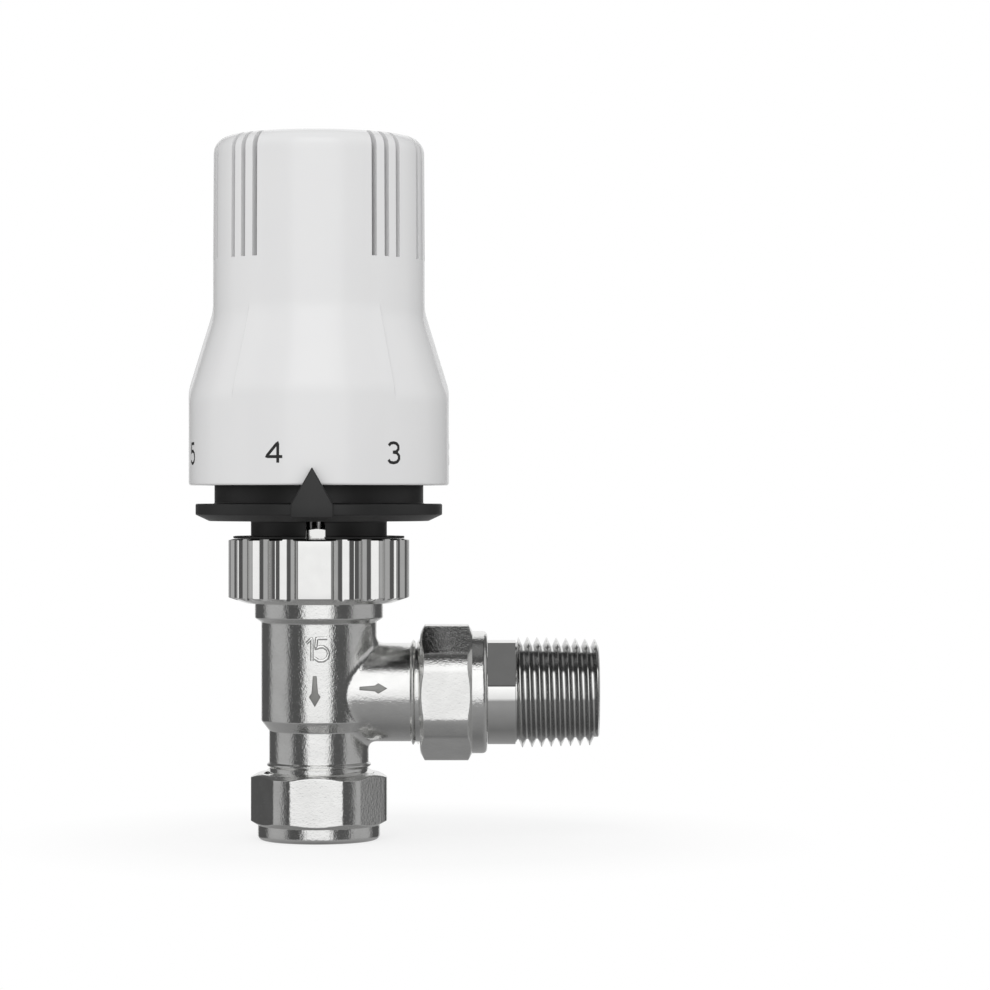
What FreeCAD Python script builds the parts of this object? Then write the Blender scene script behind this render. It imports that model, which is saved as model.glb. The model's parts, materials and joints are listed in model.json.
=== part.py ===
# Angled radiator valve with a temperature head, modelled in millimetres.
# The origin is the mouth of the pipe inlet: the middle of the lower nut's end face.
# +Z runs up the spindle, +X runs out through the radiator tail, and the pointer looks along -Y.
import FreeCAD, Part

import math
import os

import Sketcher

DOC = FreeCAD.newDocument("RadiatorValve")
SHEET = DOC.addObject("Spreadsheet::Sheet", "Sizes")

# Driving dimensions: alias, value, meaning. A pair is another size and what is added to it
DIMENSIONS = [
    # leading sizes, which the others below are worked out from
    ("crown_top", 52.4, "top face of the body"),
    ("cap_radius", 24.58, "lower part of the cap"),
    ("cap_wall", 2.08, "wall of the cap"),
    # compression joints, one set of sizes for both ends
    ("pipe_radius", 7.5, "outside of the 15 mm pipe and of the tail's spigot"),
    ("pipe_clearance", 0.05, "radial room round the pipe"),
    ("thread_radius", 10.35, "outside of the body's half inch threads, drawn plain"),
    ("thread_clearance", 0.05, "radial room in a screwed joint"),
    ("nut_height", 12.6, "whole height of a compression nut"),
    ("nut_collar_radius", 11.55, "round collar at the nut's outer end"),
    ("nut_flats", 23.9, "across the flats of the nut"),
    ("nut_corner_radius", 12.88, "turned corners of the nut"),
    ("nut_corner_low", 3.6, "height where the corners begin"),
    ("nut_corner_high", 11.82, "height where the corners end"),
    ("nut_edge_round", 0.9, "rounding of the collar's outer edge"),
    ("nut_cone_start", 3.3, "height of the olive's outer end in the nut"),
    ("nut_thread_start", 6.3, "height of the shoulder under the nut's thread"),
    ("chamfer_slope", 0.5774, "rise over run of the 30 degree nut chamfers"),
    ("olive_length", 5.6, "length of an olive"),
    ("olive_end_radius", 7.95, "outside of an olive at its ends"),
    ("olive_middle_radius", 8.7, "outside of an olive at its middle"),
    ("olive_taper", 1.7, "length of each tapered end"),
    ("olive_clearance", 0.05, "room between an olive and its two cones"),
    ("mouth_depth", 6.9, "how far a nut reaches past the body's mouth"),
    # valve body
    ("thread_shoulder", 14.7, "height where the lower thread ends"),
    ("neck_radius", 9.42, "lower neck"),
    ("neck_top", 20.6, "height where the neck starts to widen"),
    ("barrel_radius", 10.9, "main barrel"),
    ("barrel_start", 22.5, "height where the barrel starts"),
    ("barrel_top", ("crown_top", -11.3), "height where the barrel meets the collar"),
    ("collar_radius", 12.12, "collar under the ring nut"),
    ("collar_low", ("crown_top", -10.5), "lower edge of the collar"),
    ("collar_high", ("crown_top", -7.7), "upper edge of the collar"),
    ("collar_round", 0.7, "rounding of the collar's lower edge"),
    ("crown_radius", 14.95, "outside of the 30 mm head thread, drawn plain"),
    ("crown_start", ("crown_top", -6.0), "height where the head thread starts"),
    ("crown_chamfer", 0.8, "chamfer at the top of the head thread"),
    ("pipe_stop", 19.0, "height of the step that stops the pipe"),
    ("port_radius", 5.6, "port through the seat"),
    ("seat_radius", ("port_radius", 1.0), "outside of the seat's lip"),
    ("seat_top", 23.2, "height of the seat"),
    ("seat_lip", 0.8, "height of the lip above the chamber's floor"),
    ("chamber_radius", 8.2, "chamber above the seat"),
    ("chamber_top", ("crown_top", -15.8), "height where the insert's thread starts"),
    ("insert_radius", 9.0, "bore for the insert"),
    ("counterbore_radius", ("insert_radius", 1.7), "bore for the insert's flange"),
    ("counterbore_floor", ("crown_top", -6.4), "height of the face that the insert's flange sits on"),
    ("branch_height", 27.8, "height of the branch axis"),
    ("branch_radius", 9.3, "outside of the branch"),
    ("branch_shoulder", 17.4, "reach of the branch up to its thread"),
    ("branch_bore", 4.5, "waterway of the branch"),
    ("tail_nut_face", 31.84, "reach of the branch nut's outer face"),
    ("spigot_depth", 16.0, "how deep the spigot goes in, from the nut's outer face"),
    # radiator tail
    ("tail_bore", 5.6, "waterway of the tail"),
    ("tail_neck_radius", 9.85, "neck of the tail"),
    ("tail_neck_length", 5.3, "length of the neck"),
    ("tail_flats", 16.74, "across the spanner flats"),
    ("tail_flat_turn", 40.6, "how far the flats are turned up, in degrees"),
    ("tail_thread_radius", 10.4, "crests of the taper thread at its large end"),
    ("tail_thread_length", 15.6, "length of the taper thread, end chamfer included"),
    ("tail_relief", 0.16, "groove between neck and thread"),
    ("thread_pitch", 1.814, "pitch of the half inch threads"),
    ("thread_depth", 1.16, "depth of the taper thread's grooves"),
    ("thread_crest", 0.3, "flat crest between two grooves"),
    ("thread_lead", 0.45, "plain start of the taper thread"),
    ("taper_per_length", 0.03125, "radius lost per length on a 1 in 16 taper"),
    ("tail_end_chamfer", 0.7, "chamfer on the end of the tail"),
    # insert, gland and spindle
    ("insert_bottom", ("crown_top", -15.5), "lower end of the insert"),
    ("insert_floor", ("crown_top", -13.4), "height of the face that the return spring stands on"),
    ("insert_flange_top", ("crown_top", -2.4), "top of the insert's flange"),
    ("insert_boss_radius", 8.6, "boss above the flange"),
    ("insert_top", ("crown_top", 0.8), "top of the insert"),
    ("spring_room_radius", 6.0, "room for the return spring"),
    ("gland_thread_radius", 6.9, "thread of the gland nut, drawn plain"),
    ("gland_thread_start", ("crown_top", -5.0), "height where the gland thread starts"),
    ("gland_bottom", ("crown_top", -4.0), "lower end of the gland nut"),
    ("gland_flats", 13.0, "across the flats of the gland nut"),
    ("gland_hex_start", ("crown_top", 0.9), "underside of the gland's hexagon"),
    ("gland_top", ("crown_top", 6.35), "top of the gland nut"),
    ("gland_room_radius", 3.9, "room for the gland seal"),
    ("gland_room_top", ("crown_top", 4.0), "roof of that room"),
    ("gland_washer_low", ("crown_top", 1.2), "underside of the gland washer"),
    ("gland_washer_thickness", 0.9, "thickness of the gland washer"),
    ("seal_section", 0.9, "half thickness of the seal rings"),
    ("spindle_radius", 2.0, "spindle"),
    ("spindle_clearance", 0.05, "radial room round the spindle"),
    ("spindle_bottom", 26.9, "lower end of the spindle"),
    ("spindle_top", ("crown_top", 9.6), "upper end of the spindle, where the push rod rests"),
    ("clip_radius", 5.6, "spindle clip"),
    ("clip_thickness", 0.8, "thickness of the clip"),
    ("return_spring_length", 6.5, "return spring as it stands at rest"),
    ("return_spring_radius", 4.4, "mean radius of the return spring"),
    ("return_wire", 0.7, "wire of the return spring"),
    ("return_turns", 4.0, "turns of the return spring"),
    ("seal_radius", ("seat_radius", 0.6), "seat seal"),
    ("seal_thickness", 2.0, "thickness of the seat seal"),
    ("seal_lift", 2.6, "height of the seal above the seat at rest"),
    ("holder_radius", ("seal_radius", 0.3), "plate of the disc holder"),
    ("holder_plate", 1.2, "thickness of that plate"),
    ("holder_boss_radius", 3.6, "boss of the disc holder"),
    ("holder_boss_height", 2.6, "height of that boss"),
    ("holder_stub_radius", 2.6, "stub that carries the seal"),
    ("seal_cap_radius", 3.9, "cap under the seal"),
    ("seal_cap_thickness", 0.7, "thickness of the cap"),
    # ring nut
    ("ring_radius", ("crown_radius", 2.19), "outside of the knurled ring nut"),
    ("ring_low", ("crown_top", -7.7), "lower end of the ring nut"),
    ("ring_edge_low", ("crown_top", -6.6), "lower outer edge"),
    ("ring_edge_high", ("crown_top", 4.2), "upper outer edge"),
    ("ring_high", ("crown_top", 4.45), "upper end of the ring nut"),
    ("ring_top_radius", ("ring_radius", -1.04), "rim of the flat top"),
    ("ring_lip_radius", ("crown_radius", -1.9), "hole in the clamping lip"),
    ("ring_foot_radius", ("ring_lip_radius", 0.75), "rim of the lower end"),
    ("ring_lip_low", ("crown_top", 2.4), "underside of the clamping lip"),
    ("ring_thread_start", ("crown_top", -6.3), "height where the ring's thread starts"),
    ("flute_radius", 2.73, "radius of a flute"),
    ("flute_depth", 1.17, "depth of a flute"),
    ("flute_pitch", 18.0, "angle from flute to flute"),
    ("flute_run", 9.0, "flutes between the two plain pads"),
    # head base
    ("base_foot_radius", ("crown_radius", -0.35), "clamped foot of the base"),
    ("base_foot_low", ("crown_top", 0.05), "underside of the foot"),
    ("base_foot_high", ("crown_top", 2.35), "top of the foot"),
    ("base_neck_radius", ("base_foot_radius", -1.7), "slotted neck"),
    ("base_neck_bore", ("base_neck_radius", -2.5), "inside of the neck"),
    ("base_slot_width", 3.6, "slots of the neck"),
    ("base_collar_radius", ("ring_top_radius", 0.1), "thin collar on the ring nut"),
    ("base_collar_low", ("crown_top", 4.55), "underside of that collar"),
    ("base_collar_high", ("crown_top", 4.95), "top of that collar"),
    ("flange_low", ("crown_top", 7.8), "underside of the flange"),
    ("flange_radius", ("cap_radius", -1.28), "flange"),
    ("flange_inner_radius", ("flange_radius", -2.55), "rim of the underside"),
    ("flange_edge", ("crown_top", 9.0), "height where the flange is full width"),
    ("flange_high", ("crown_top", 11.06), "top of the flange"),
    ("base_sleeve_radius", ("cap_radius", -4.85), "sleeve above the flange"),
    ("base_sleeve_high", ("crown_top", 16.5), "top of the sleeve"),
    ("guide_radius", ("base_sleeve_radius", -2.53), "guide tube that the handle turns on"),
    ("guide_bore", ("guide_radius", -1.8), "inside of the guide tube"),
    ("guide_high", ("crown_top", 39.6), "top of the guide tube"),
    ("rod_hole_radius", 4.6, "hole for the push rod"),
    ("keyway_width", 3.2, "grooves for the sensor carrier's keys"),
    ("keyway_radius", ("guide_bore", 0.9), "bottom of those grooves"),
    ("keyway_low", ("crown_top", 19.6), "lower end of those grooves"),
    ("pointer_width", 7.8, "pointer"),
    ("pointer_back", ("cap_radius", 0.37), "back face of the pointer"),
    ("pointer_thickness", 1.1, "thickness of the pointer"),
    ("pointer_low", ("crown_top", 8.5), "lower edge of the pointer"),
    ("pointer_shoulder", ("crown_top", 10.9), "shoulders of the pointer"),
    ("pointer_tip", ("crown_top", 17.8), "tip of the pointer"),
    ("stop_lug_high", ("crown_top", 20.2), "top of the base's stop lug"),
    ("stop_lug_angle", 12.0, "angle that the lug takes up"),
    ("stop_lug_inner", ("base_sleeve_radius", -1.83), "inner radius of the lug"),
    ("stop_lug_outer", ("base_sleeve_radius", -0.23), "outer radius of the lug"),
    # head, inside
    ("rod_foot_radius", 4.3, "foot of the push rod"),
    ("rod_foot_height", 2.6, "height of that foot"),
    ("rod_radius", 3.2, "push rod"),
    ("rod_clearance", 0.08, "radial room round the push rod"),
    ("rod_top", ("crown_top", 34.1), "upper end of the push rod"),
    ("carrier_low", ("crown_top", 23.6), "lower end of the sensor carrier"),
    ("carrier_floor", 2.0, "thickness of its floor"),
    ("carrier_high", ("crown_top", 37.6), "upper end of the sensor carrier"),
    ("carrier_clearance", 0.08, "radial room of the carrier in the guide tube"),
    ("carrier_hole_radius", 5.2, "hole in its floor"),
    ("key_width", 3.0, "keys of the carrier"),
    ("key_radius", ("keyway_radius", -0.15), "reach of the keys"),
    ("capsule_radius", ("guide_bore", -2.6), "sensor capsule"),
    ("capsule_collar_radius", ("guide_radius", -1.0), "collar of the capsule"),
    ("capsule_collar_low", ("crown_top", 43.65), "underside of the collar"),
    ("capsule_collar_high", ("crown_top", 45.6), "top of the collar"),
    ("capsule_top", ("crown_top", 59.6), "top of the capsule"),
    ("capsule_round", 1.6, "rounding of the capsule's top edge"),
    ("capsule_bore_top", ("crown_top", 37.6), "end of the bore for the push rod"),
    ("overtravel_radius", ("capsule_radius", 1.8), "mean radius of the overtravel spring"),
    ("overtravel_wire", 1.3, "wire of the overtravel spring"),
    ("overtravel_turns", 5.0, "turns of the overtravel spring"),
    ("plate_low", ("crown_top", 68.6), "underside of the spring plate"),
    ("plate_thickness", 1.8, "thickness of the spring plate"),
    ("plate_radius", ("overtravel_radius", 2.0), "spring plate"),
    ("plate_boss_radius", 7.5, "boss of the spring plate"),
    ("plate_boss_bore", 6.0, "inside of that boss"),
    # handle
    ("cap_low", ("crown_top", 14.53), "lower edge of the cap"),
    ("flare_low", ("crown_top", 32.5), "where a pad's flare starts"),
    ("flare_high", ("crown_top", 47.45), "where a pad's flare ends"),
    ("recess_drop", 1.35, "how much lower the plain flare runs"),
    ("cap_grip_radius", ("cap_radius", -4.58), "upper part of the cap at its foot"),
    ("cap_grip_top_radius", ("cap_grip_radius", -0.13), "upper part of the cap at its top"),
    ("cap_high", ("crown_top", 80.27), "top of the cap"),
    ("cap_round", 3.2, "rounding of the top edge"),
    ("cap_roof", 2.27, "thickness of the top"),
    ("pad_angle", 75.0, "angle that each pad takes up"),
    ("slot_width", 1.1, "air slots"),
    ("slot_low", ("crown_top", 56.9), "lower end of the air slots"),
    ("slot_inner", ("cap_grip_radius", -3.1), "inner radius of the air slots"),
    ("slot_pitch", 8.2, "angle from slot to slot"),
    ("slot_group_turn", 41.8, "angle from a pad's middle to the middle slot"),
    ("sleeve_clearance", 0.08, "radial room of the handle sleeve on the guide tube"),
    ("sleeve_low", ("crown_top", 22.2), "lower end of the handle sleeve"),
    ("sleeve_radius", ("guide_radius", 2.0), "handle sleeve"),
    ("sleeve_neck_radius", ("guide_radius", 1.1), "upper part of the handle sleeve"),
    ("sleeve_step", ("crown_top", 37.6), "height of that step"),
    ("sleeve_high", ("crown_top", 43.6), "top of the handle sleeve"),
    ("sleeve_ledge_low", ("crown_top", 41.5), "underside of the ledge that lifts the capsule"),
    ("sleeve_ledge_radius", ("capsule_radius", 0.6), "hole in the ledge"),
    ("sleeve_rim_low", ("crown_top", 29.2), "underside of the rim that fits the cap"),
    ("sleeve_rim_high", ("crown_top", 31.0), "top of that rim"),
    ("rim_clearance", 0.05, "room between inner pieces and the cap"),
    ("stop_ring_low", ("crown_top", 18.5), "underside of the stop ring"),
    ("stop_ring_high", ("crown_top", 20.8), "top of the stop ring"),
    ("stop_ring_inner", ("base_sleeve_radius", 0.47), "inside of the stop ring"),
    ("stop_ring_reach", ("stop_lug_inner", 0.0), "inner radius of its lug"),
    ("closing_turn", 204.3, "degrees from rest to the closed stop"),
    ("opening_turn", 72.7, "degrees from rest to the open stop"),
    ("stop_margin", 0.4, "degrees of play at each stop"),
]


# grooves that fit on the taper thread
THREAD_GROOVES = 8


class Size:
    # A length or angle that knows its value and the sheet expression it comes from

    def __init__(self, number, text):
        self.number = float(number)
        self.text = text

    def joined(self, other, sign, number, swapped=False):
        if not isinstance(other, Size):
            other = Size(other, repr(float(other)))
        pair = (other.text, self.text) if swapped else (self.text, other.text)
        return Size(number, "(%s %s %s)" % (pair[0], sign, pair[1]))

    def __add__(self, other):
        return self.joined(other, "+", self.number + value(other))

    def __radd__(self, other):
        return self.joined(other, "+", value(other) + self.number, True)

    def __sub__(self, other):
        return self.joined(other, "-", self.number - value(other))

    def __rsub__(self, other):
        return self.joined(other, "-", value(other) - self.number, True)

    def __mul__(self, other):
        return self.joined(other, "*", self.number * value(other))

    def __rmul__(self, other):
        return self.joined(other, "*", value(other) * self.number, True)

    def __truediv__(self, other):
        return self.joined(other, "/", self.number / value(other))

    def __neg__(self):
        return self * -1


def value(size):
    return size.number if isinstance(size, Size) else float(size)


def text(size):
    return size.text if isinstance(size, Size) else repr(float(size))


def fill_sheet():
    sizes = {}
    for row, (alias, given, meaning) in enumerate(DIMENSIONS, start=1):
        base, offset = given if isinstance(given, tuple) else (None, given)
        number = offset + sizes[base].number if base else offset
        SHEET.set("A%d" % row, meaning)
        SHEET.set("B%d" % row, "=%s + %r" % (base, offset) if base else str(offset))
        SHEET.setAlias("B%d" % row, alias)
        sizes[alias] = Size(number, "Sizes." + alias)
    DOC.recompute()
    return sizes


class Sheet:
    # Reads a driving dimension by its alias, as S.cap_radius

    def __init__(self, sizes):
        self.__dict__.update(sizes)


S = Sheet(fill_sheet())


def new_body(label):
    body = DOC.addObject("PartDesign::Body", label)
    body.Label = label
    return body


def origin_plane(body, role):
    for feature in body.Origin.OriginFeatures:
        if feature.Role == role:
            return feature
    raise ValueError(role)


def new_sketch(body, role, name, offset=0.0, turn=0.0):
    # A sketch on one of the body's own planes, lifted by offset and turned about the plane's normal
    sketch = body.newObject("Sketcher::SketchObject", body.Name + "_" + name)
    sketch.AttachmentSupport = [(origin_plane(body, role), "")]
    sketch.MapMode = "FlatFace"
    turned = FreeCAD.Rotation(FreeCAD.Vector(0, 0, 1), value(turn))
    sketch.AttachmentOffset = FreeCAD.Placement(FreeCAD.Vector(0, 0, value(offset)), turned)
    if isinstance(offset, Size):
        sketch.setExpression("AttachmentOffset.Base.z", offset.text)
    if isinstance(turn, Size):
        sketch.setExpression("AttachmentOffset.Rotation.Angle", turn.text)
    return sketch


def place_point(sketch, line, which, x, y):
    for kind, size, axis in (("DistanceX", x, -2), ("DistanceY", y, -1)):
        if value(size) == 0 and not isinstance(size, Size):
            sketch.addConstraint(Sketcher.Constraint("PointOnObject", line, which, axis))
            continue
        index = sketch.addConstraint(Sketcher.Constraint(kind, -1, 1, line, which, value(size)))
        if isinstance(size, Size):
            sketch.setExpression("Constraints[%d]" % index, size.text)


def add_loop(sketch, points):
    # A closed loop of straight lines through the points, each held by its two sizes
    first = sketch.GeometryCount
    count = len(points)
    corners = [FreeCAD.Vector(value(x), value(y), 0) for x, y in points]
    for i in range(count):
        sketch.addGeometry(Part.LineSegment(corners[i], corners[(i + 1) % count]), False)
    for i in range(count):
        following = first + (i + 1) % count
        sketch.addConstraint(Sketcher.Constraint("Coincident", first + i, 2, following, 1))
    for i, (x, y) in enumerate(points):
        place_point(sketch, first + i, 1, x, y)


def add_circle(sketch, x, y, radius):
    centre = FreeCAD.Vector(value(x), value(y), 0)
    shape = Part.Circle(centre, FreeCAD.Vector(0, 0, 1), value(radius))
    circle = sketch.addGeometry(shape, False)
    place_point(sketch, circle, 3, x, y)
    index = sketch.addConstraint(Sketcher.Constraint("Radius", circle, value(radius)))
    sketch.setExpression("Constraints[%d]" % index, text(radius))


def block_points(x_low, y_low, x_high, y_high):
    return [(x_low, y_low), (x_high, y_low), (x_high, y_high), (x_low, y_high)]


def turned(body, name, points, angle=360.0, role="XZ_Plane", cut=False, turn=0.0):
    # Turns the outline about the vertical axis, to add material or to cut it away
    sketch = new_sketch(body, role, name + "_outline", 0.0, turn)
    add_loop(sketch, points)
    kind = "PartDesign::Groove" if cut else "PartDesign::Revolution"
    feature = body.newObject(kind, body.Name + "_" + name)
    feature.Profile = sketch
    feature.ReferenceAxis = (sketch, ["V_Axis"])
    feature.Angle = value(angle)
    feature.Midplane = value(angle) < 360
    if isinstance(angle, Size):
        feature.setExpression("Angle", angle.text)
    sketch.Visibility = False
    return feature


def padded(body, name, sketch, length, cut=False, reverse=False):
    kind = "PartDesign::Pocket" if cut else "PartDesign::Pad"
    feature = body.newObject(kind, body.Name + "_" + name)
    feature.Profile = sketch
    feature.Length = value(length)
    feature.setExpression("Length", text(length))
    feature.Reversed = reverse
    sketch.Visibility = False
    return feature


def patterned(body, name, originals, count, angle):
    # Repeats features about the vertical axis over the angle, ends included
    sketch = new_sketch(body, "XY_Plane", name + "_axis")
    pattern = body.newObject("PartDesign::PolarPattern", body.Name + "_" + name)
    pattern.Originals = originals
    pattern.Axis = (sketch, ["N_Axis"])
    pattern.Angle = value(angle)
    pattern.Occurrences = int(value(count))
    if isinstance(count, Size):
        pattern.setExpression("Occurrences", count.text)
    if isinstance(angle, Size):
        pattern.setExpression("Angle", angle.text)
    body.Tip = pattern
    return pattern


def ring_edges(body, places):
    # The names of the circular edges that lie at the given radius and height
    DOC.recompute()
    names = []
    for index, edge in enumerate(body.Shape.Edges, start=1):
        if not isinstance(edge.Curve, Part.Circle):
            continue
        centre = edge.Curve.Center
        for radius, height in places:
            near = abs(edge.Curve.Radius - value(radius)) < 0.002 and abs(centre.z - value(height)) < 0.002
            if near and math.hypot(centre.x, centre.y) < 0.002:
                names.append("Edge%d" % index)
    if len(names) < len(places):
        raise ValueError("an edge of %s is missing" % body.Label)
    return names


def dressed(body, kind, name, places, size):
    # A fillet or a chamfer on the named rings
    names = ring_edges(body, places)
    base = body.Tip
    feature = body.newObject("PartDesign::" + kind, body.Name + "_" + name)
    feature.Base = (base, names)
    prop = "Radius" if kind == "Fillet" else "Size"
    setattr(feature, prop, value(size))
    feature.setExpression(prop, text(size))
    return feature


def set_place(body, x=0.0, z=0.0, along_x=False):
    # Lays the body's vertical axis along +X, or reversed along -X, at the given place
    turn = {False: 0.0, True: 90.0, "back": -90.0}[along_x]
    body.Placement = FreeCAD.Placement(
        FreeCAD.Vector(value(x), 0, value(z)), FreeCAD.Rotation(FreeCAD.Vector(0, 1, 0), turn))
    for axis, size in (("x", x), ("z", z)):
        if isinstance(size, Size):
            body.setExpression("Placement.Base." + axis, size.text)


PIPE_HOLE = S.pipe_radius + S.pipe_clearance
OLIVE_SLOPE = (S.olive_middle_radius - S.olive_end_radius) / S.olive_taper
OLIVE_END = S.nut_cone_start + S.olive_length
MOUTH_RADIUS = S.olive_middle_radius + S.olive_clearance \
    + (OLIVE_END - S.olive_taper - S.mouth_depth) * OLIVE_SLOPE
CONE_LENGTH = (MOUTH_RADIUS - PIPE_HOLE) / OLIVE_SLOPE
NUT_THREAD_BORE = S.thread_radius + S.thread_clearance


def compression_nut(label):
    # Round collar below, hexagon with turned corners above, olive cone and thread inside
    body = new_body(label)
    cone_start = S.nut_cone_start - (S.olive_end_radius + S.olive_clearance - PIPE_HOLE) / OLIVE_SLOPE
    cone_end_radius = S.olive_end_radius + S.olive_clearance \
        + (S.nut_thread_start - S.nut_cone_start) * OLIVE_SLOPE
    low_rise = (S.nut_corner_radius - S.nut_collar_radius) * S.chamfer_slope
    high_run = (S.nut_height - S.nut_corner_high) / S.chamfer_slope
    turned(body, "blank", [
        (PIPE_HOLE, 0.0),
        (S.nut_collar_radius, 0.0),
        (S.nut_collar_radius, S.nut_corner_low - low_rise),
        (S.nut_corner_radius, S.nut_corner_low),
        (S.nut_corner_radius, S.nut_corner_high),
        (S.nut_corner_radius - high_run, S.nut_height),
        (NUT_THREAD_BORE, S.nut_height),
        (NUT_THREAD_BORE, S.nut_thread_start),
        (cone_end_radius, S.nut_thread_start),
        (PIPE_HOLE, cone_start),
    ])
    dressed(body, "Fillet", "edge", [(S.nut_collar_radius, 0.0)], S.nut_edge_round)
    sketch = new_sketch(body, "XY_Plane", "flats_outline", S.nut_corner_low - low_rise)
    add_hexagon(sketch, S.nut_flats)
    add_circle(sketch, 0.0, 0.0, S.nut_corner_radius + 2)
    padded(body, "flats", sketch, S.nut_height, cut=True, reverse=True)
    return body


def add_hexagon(sketch, flats):
    # A hexagon with flats that face along the sketch's own Y
    half = flats / 2
    corner = flats / math.sqrt(3)
    points = [(corner, 0.0), (corner / 2, half), (-corner / 2, half),
              (-corner, 0.0), (-corner / 2, -half), (corner / 2, -half)]
    add_loop(sketch, points)


def olive(label):
    # A barrel ring that is tapered at both ends
    body = new_body(label)
    taper_start = S.nut_cone_start + S.olive_taper
    taper_end = OLIVE_END - S.olive_taper
    turned(body, "ring", [
        (PIPE_HOLE, S.nut_cone_start),
        (S.olive_end_radius, S.nut_cone_start),
        (S.olive_middle_radius, taper_start),
        (S.olive_middle_radius, taper_end),
        (S.olive_end_radius, OLIVE_END),
        (PIPE_HOLE, OLIVE_END),
    ])
    return body


def valve_body():
    # One casting: barrel with the side branch, both mouths, the seat and the crown for the head
    body = new_body("valve_body")
    turned(body, "barrel", [
        (0.0, S.mouth_depth),
        (S.thread_radius, S.mouth_depth),
        (S.thread_radius, S.thread_shoulder),
        (S.neck_radius, S.thread_shoulder),
        (S.neck_radius, S.neck_top),
        (S.barrel_radius, S.barrel_start),
        (S.barrel_radius, S.barrel_top),
        (S.collar_radius, S.collar_low),
        (S.collar_radius, S.collar_high),
        (S.crown_radius, S.crown_start),
        (S.crown_radius, S.crown_top),
        (0.0, S.crown_top),
    ])
    reach = S.tail_nut_face - S.mouth_depth
    # the branch runs along +X, so its outline is drawn over the level axis through the branch
    branch = new_sketch(body, "XZ_Plane", "branch_outline")
    add_loop(branch, [
        (0.0, S.branch_height),
        (reach, S.branch_height),
        (reach, S.branch_height + S.thread_radius),
        (S.branch_shoulder, S.branch_height + S.thread_radius),
        (S.branch_shoulder, S.branch_height + S.branch_radius),
        (0.0, S.branch_height + S.branch_radius),
    ])
    add_feature_about(body, "branch", branch)
    dressed(body, "Fillet", "collar_edge", [(S.collar_radius, S.collar_low)], S.collar_round)
    dressed(body, "Chamfer", "crown_edge", [(S.crown_radius, S.crown_top)], S.crown_chamfer)
    mouth_end = S.mouth_depth + CONE_LENGTH
    turned(body, "waterway", [
        (0.0, S.mouth_depth),
        (MOUTH_RADIUS, S.mouth_depth),
        (PIPE_HOLE, mouth_end),
        (PIPE_HOLE, S.pipe_stop),
        (S.port_radius, S.pipe_stop),
        (S.port_radius, S.seat_top),
        (S.seat_radius, S.seat_top),
        (S.seat_radius, S.seat_top - S.seat_lip),
        (S.chamber_radius, S.seat_top - S.seat_lip),
        (S.chamber_radius, S.chamber_top),
        (S.insert_radius, S.chamber_top),
        (S.insert_radius, S.counterbore_floor),
        (S.counterbore_radius, S.counterbore_floor),
        (S.counterbore_radius, S.crown_top),
        (0.0, S.crown_top),
    ], cut=True)
    outlet = new_sketch(body, "XZ_Plane", "outlet_outline")
    stop = S.tail_nut_face - S.spigot_depth
    add_loop(outlet, [
        (0.0, S.branch_height),
        (reach, S.branch_height),
        (reach, S.branch_height + MOUTH_RADIUS),
        (reach - CONE_LENGTH, S.branch_height + PIPE_HOLE),
        (stop, S.branch_height + PIPE_HOLE),
        (stop, S.branch_height + S.branch_bore),
        (0.0, S.branch_height + S.branch_bore),
    ])
    add_feature_about(body, "outlet", outlet, cut=True)
    return body


def add_feature_about(body, name, sketch, cut=False):
    # Turns the sketch about its own first line, the level axis of the branch
    kind = "PartDesign::Groove" if cut else "PartDesign::Revolution"
    feature = body.newObject(kind, body.Name + "_" + name)
    feature.Profile = sketch
    feature.ReferenceAxis = (sketch, ["Edge1"])
    feature.Angle = 360.0
    sketch.Visibility = False
    return feature


def taper_thread(start):
    # Crests and grooves of the taper thread, drawn as rings: from the neck's end to the last crest
    points = [(S.tail_thread_radius, start)]
    for turn in range(THREAD_GROOVES):
        crest = S.thread_lead + turn * S.thread_pitch
        for along, sunk in ((0.0, 0.0), ((S.thread_pitch - S.thread_crest) / 2, S.thread_depth),
                            (S.thread_pitch - S.thread_crest, 0.0)):
            reach = crest + along
            points.append((S.tail_thread_radius - reach * S.taper_per_length - sunk, start + reach))
    return points


def radiator_tail():
    # Spigot for the branch, neck with two spanner flats and the taper thread for the radiator
    body = new_body("radiator_tail")
    neck_start = S.spigot_depth + S.thread_clearance
    neck_end = neck_start + S.tail_neck_length
    thread_start = neck_end + S.tail_relief
    thread_end = thread_start + S.tail_thread_length
    end_radius = S.tail_thread_radius - S.tail_thread_length * S.taper_per_length - S.tail_end_chamfer
    turned(body, "blank", [
        (S.tail_bore, S.thread_clearance),
        (S.pipe_radius, S.thread_clearance),
        (S.pipe_radius, neck_start),
        (S.tail_neck_radius, neck_start),
        (S.tail_neck_radius, neck_end),
        (S.tail_neck_radius - S.tail_relief, neck_end),
        (S.tail_neck_radius - S.tail_relief, thread_start),
        *taper_thread(thread_start),
        (end_radius, thread_end),
        (S.tail_bore, thread_end),
    ])
    sketch = new_sketch(body, "XY_Plane", "flats_outline", neck_start, -90.0 - S.tail_flat_turn)
    half = S.tail_flats / 2
    rim = S.tail_neck_radius + 1
    add_loop(sketch, block_points(half, -rim, rim, rim))
    add_loop(sketch, block_points(-rim, -rim, -half, rim))
    padded(body, "flats", sketch, S.tail_neck_length, cut=True, reverse=True)
    set_place(body, S.tail_nut_face - S.spigot_depth, S.branch_height, along_x=True)
    return body


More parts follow.
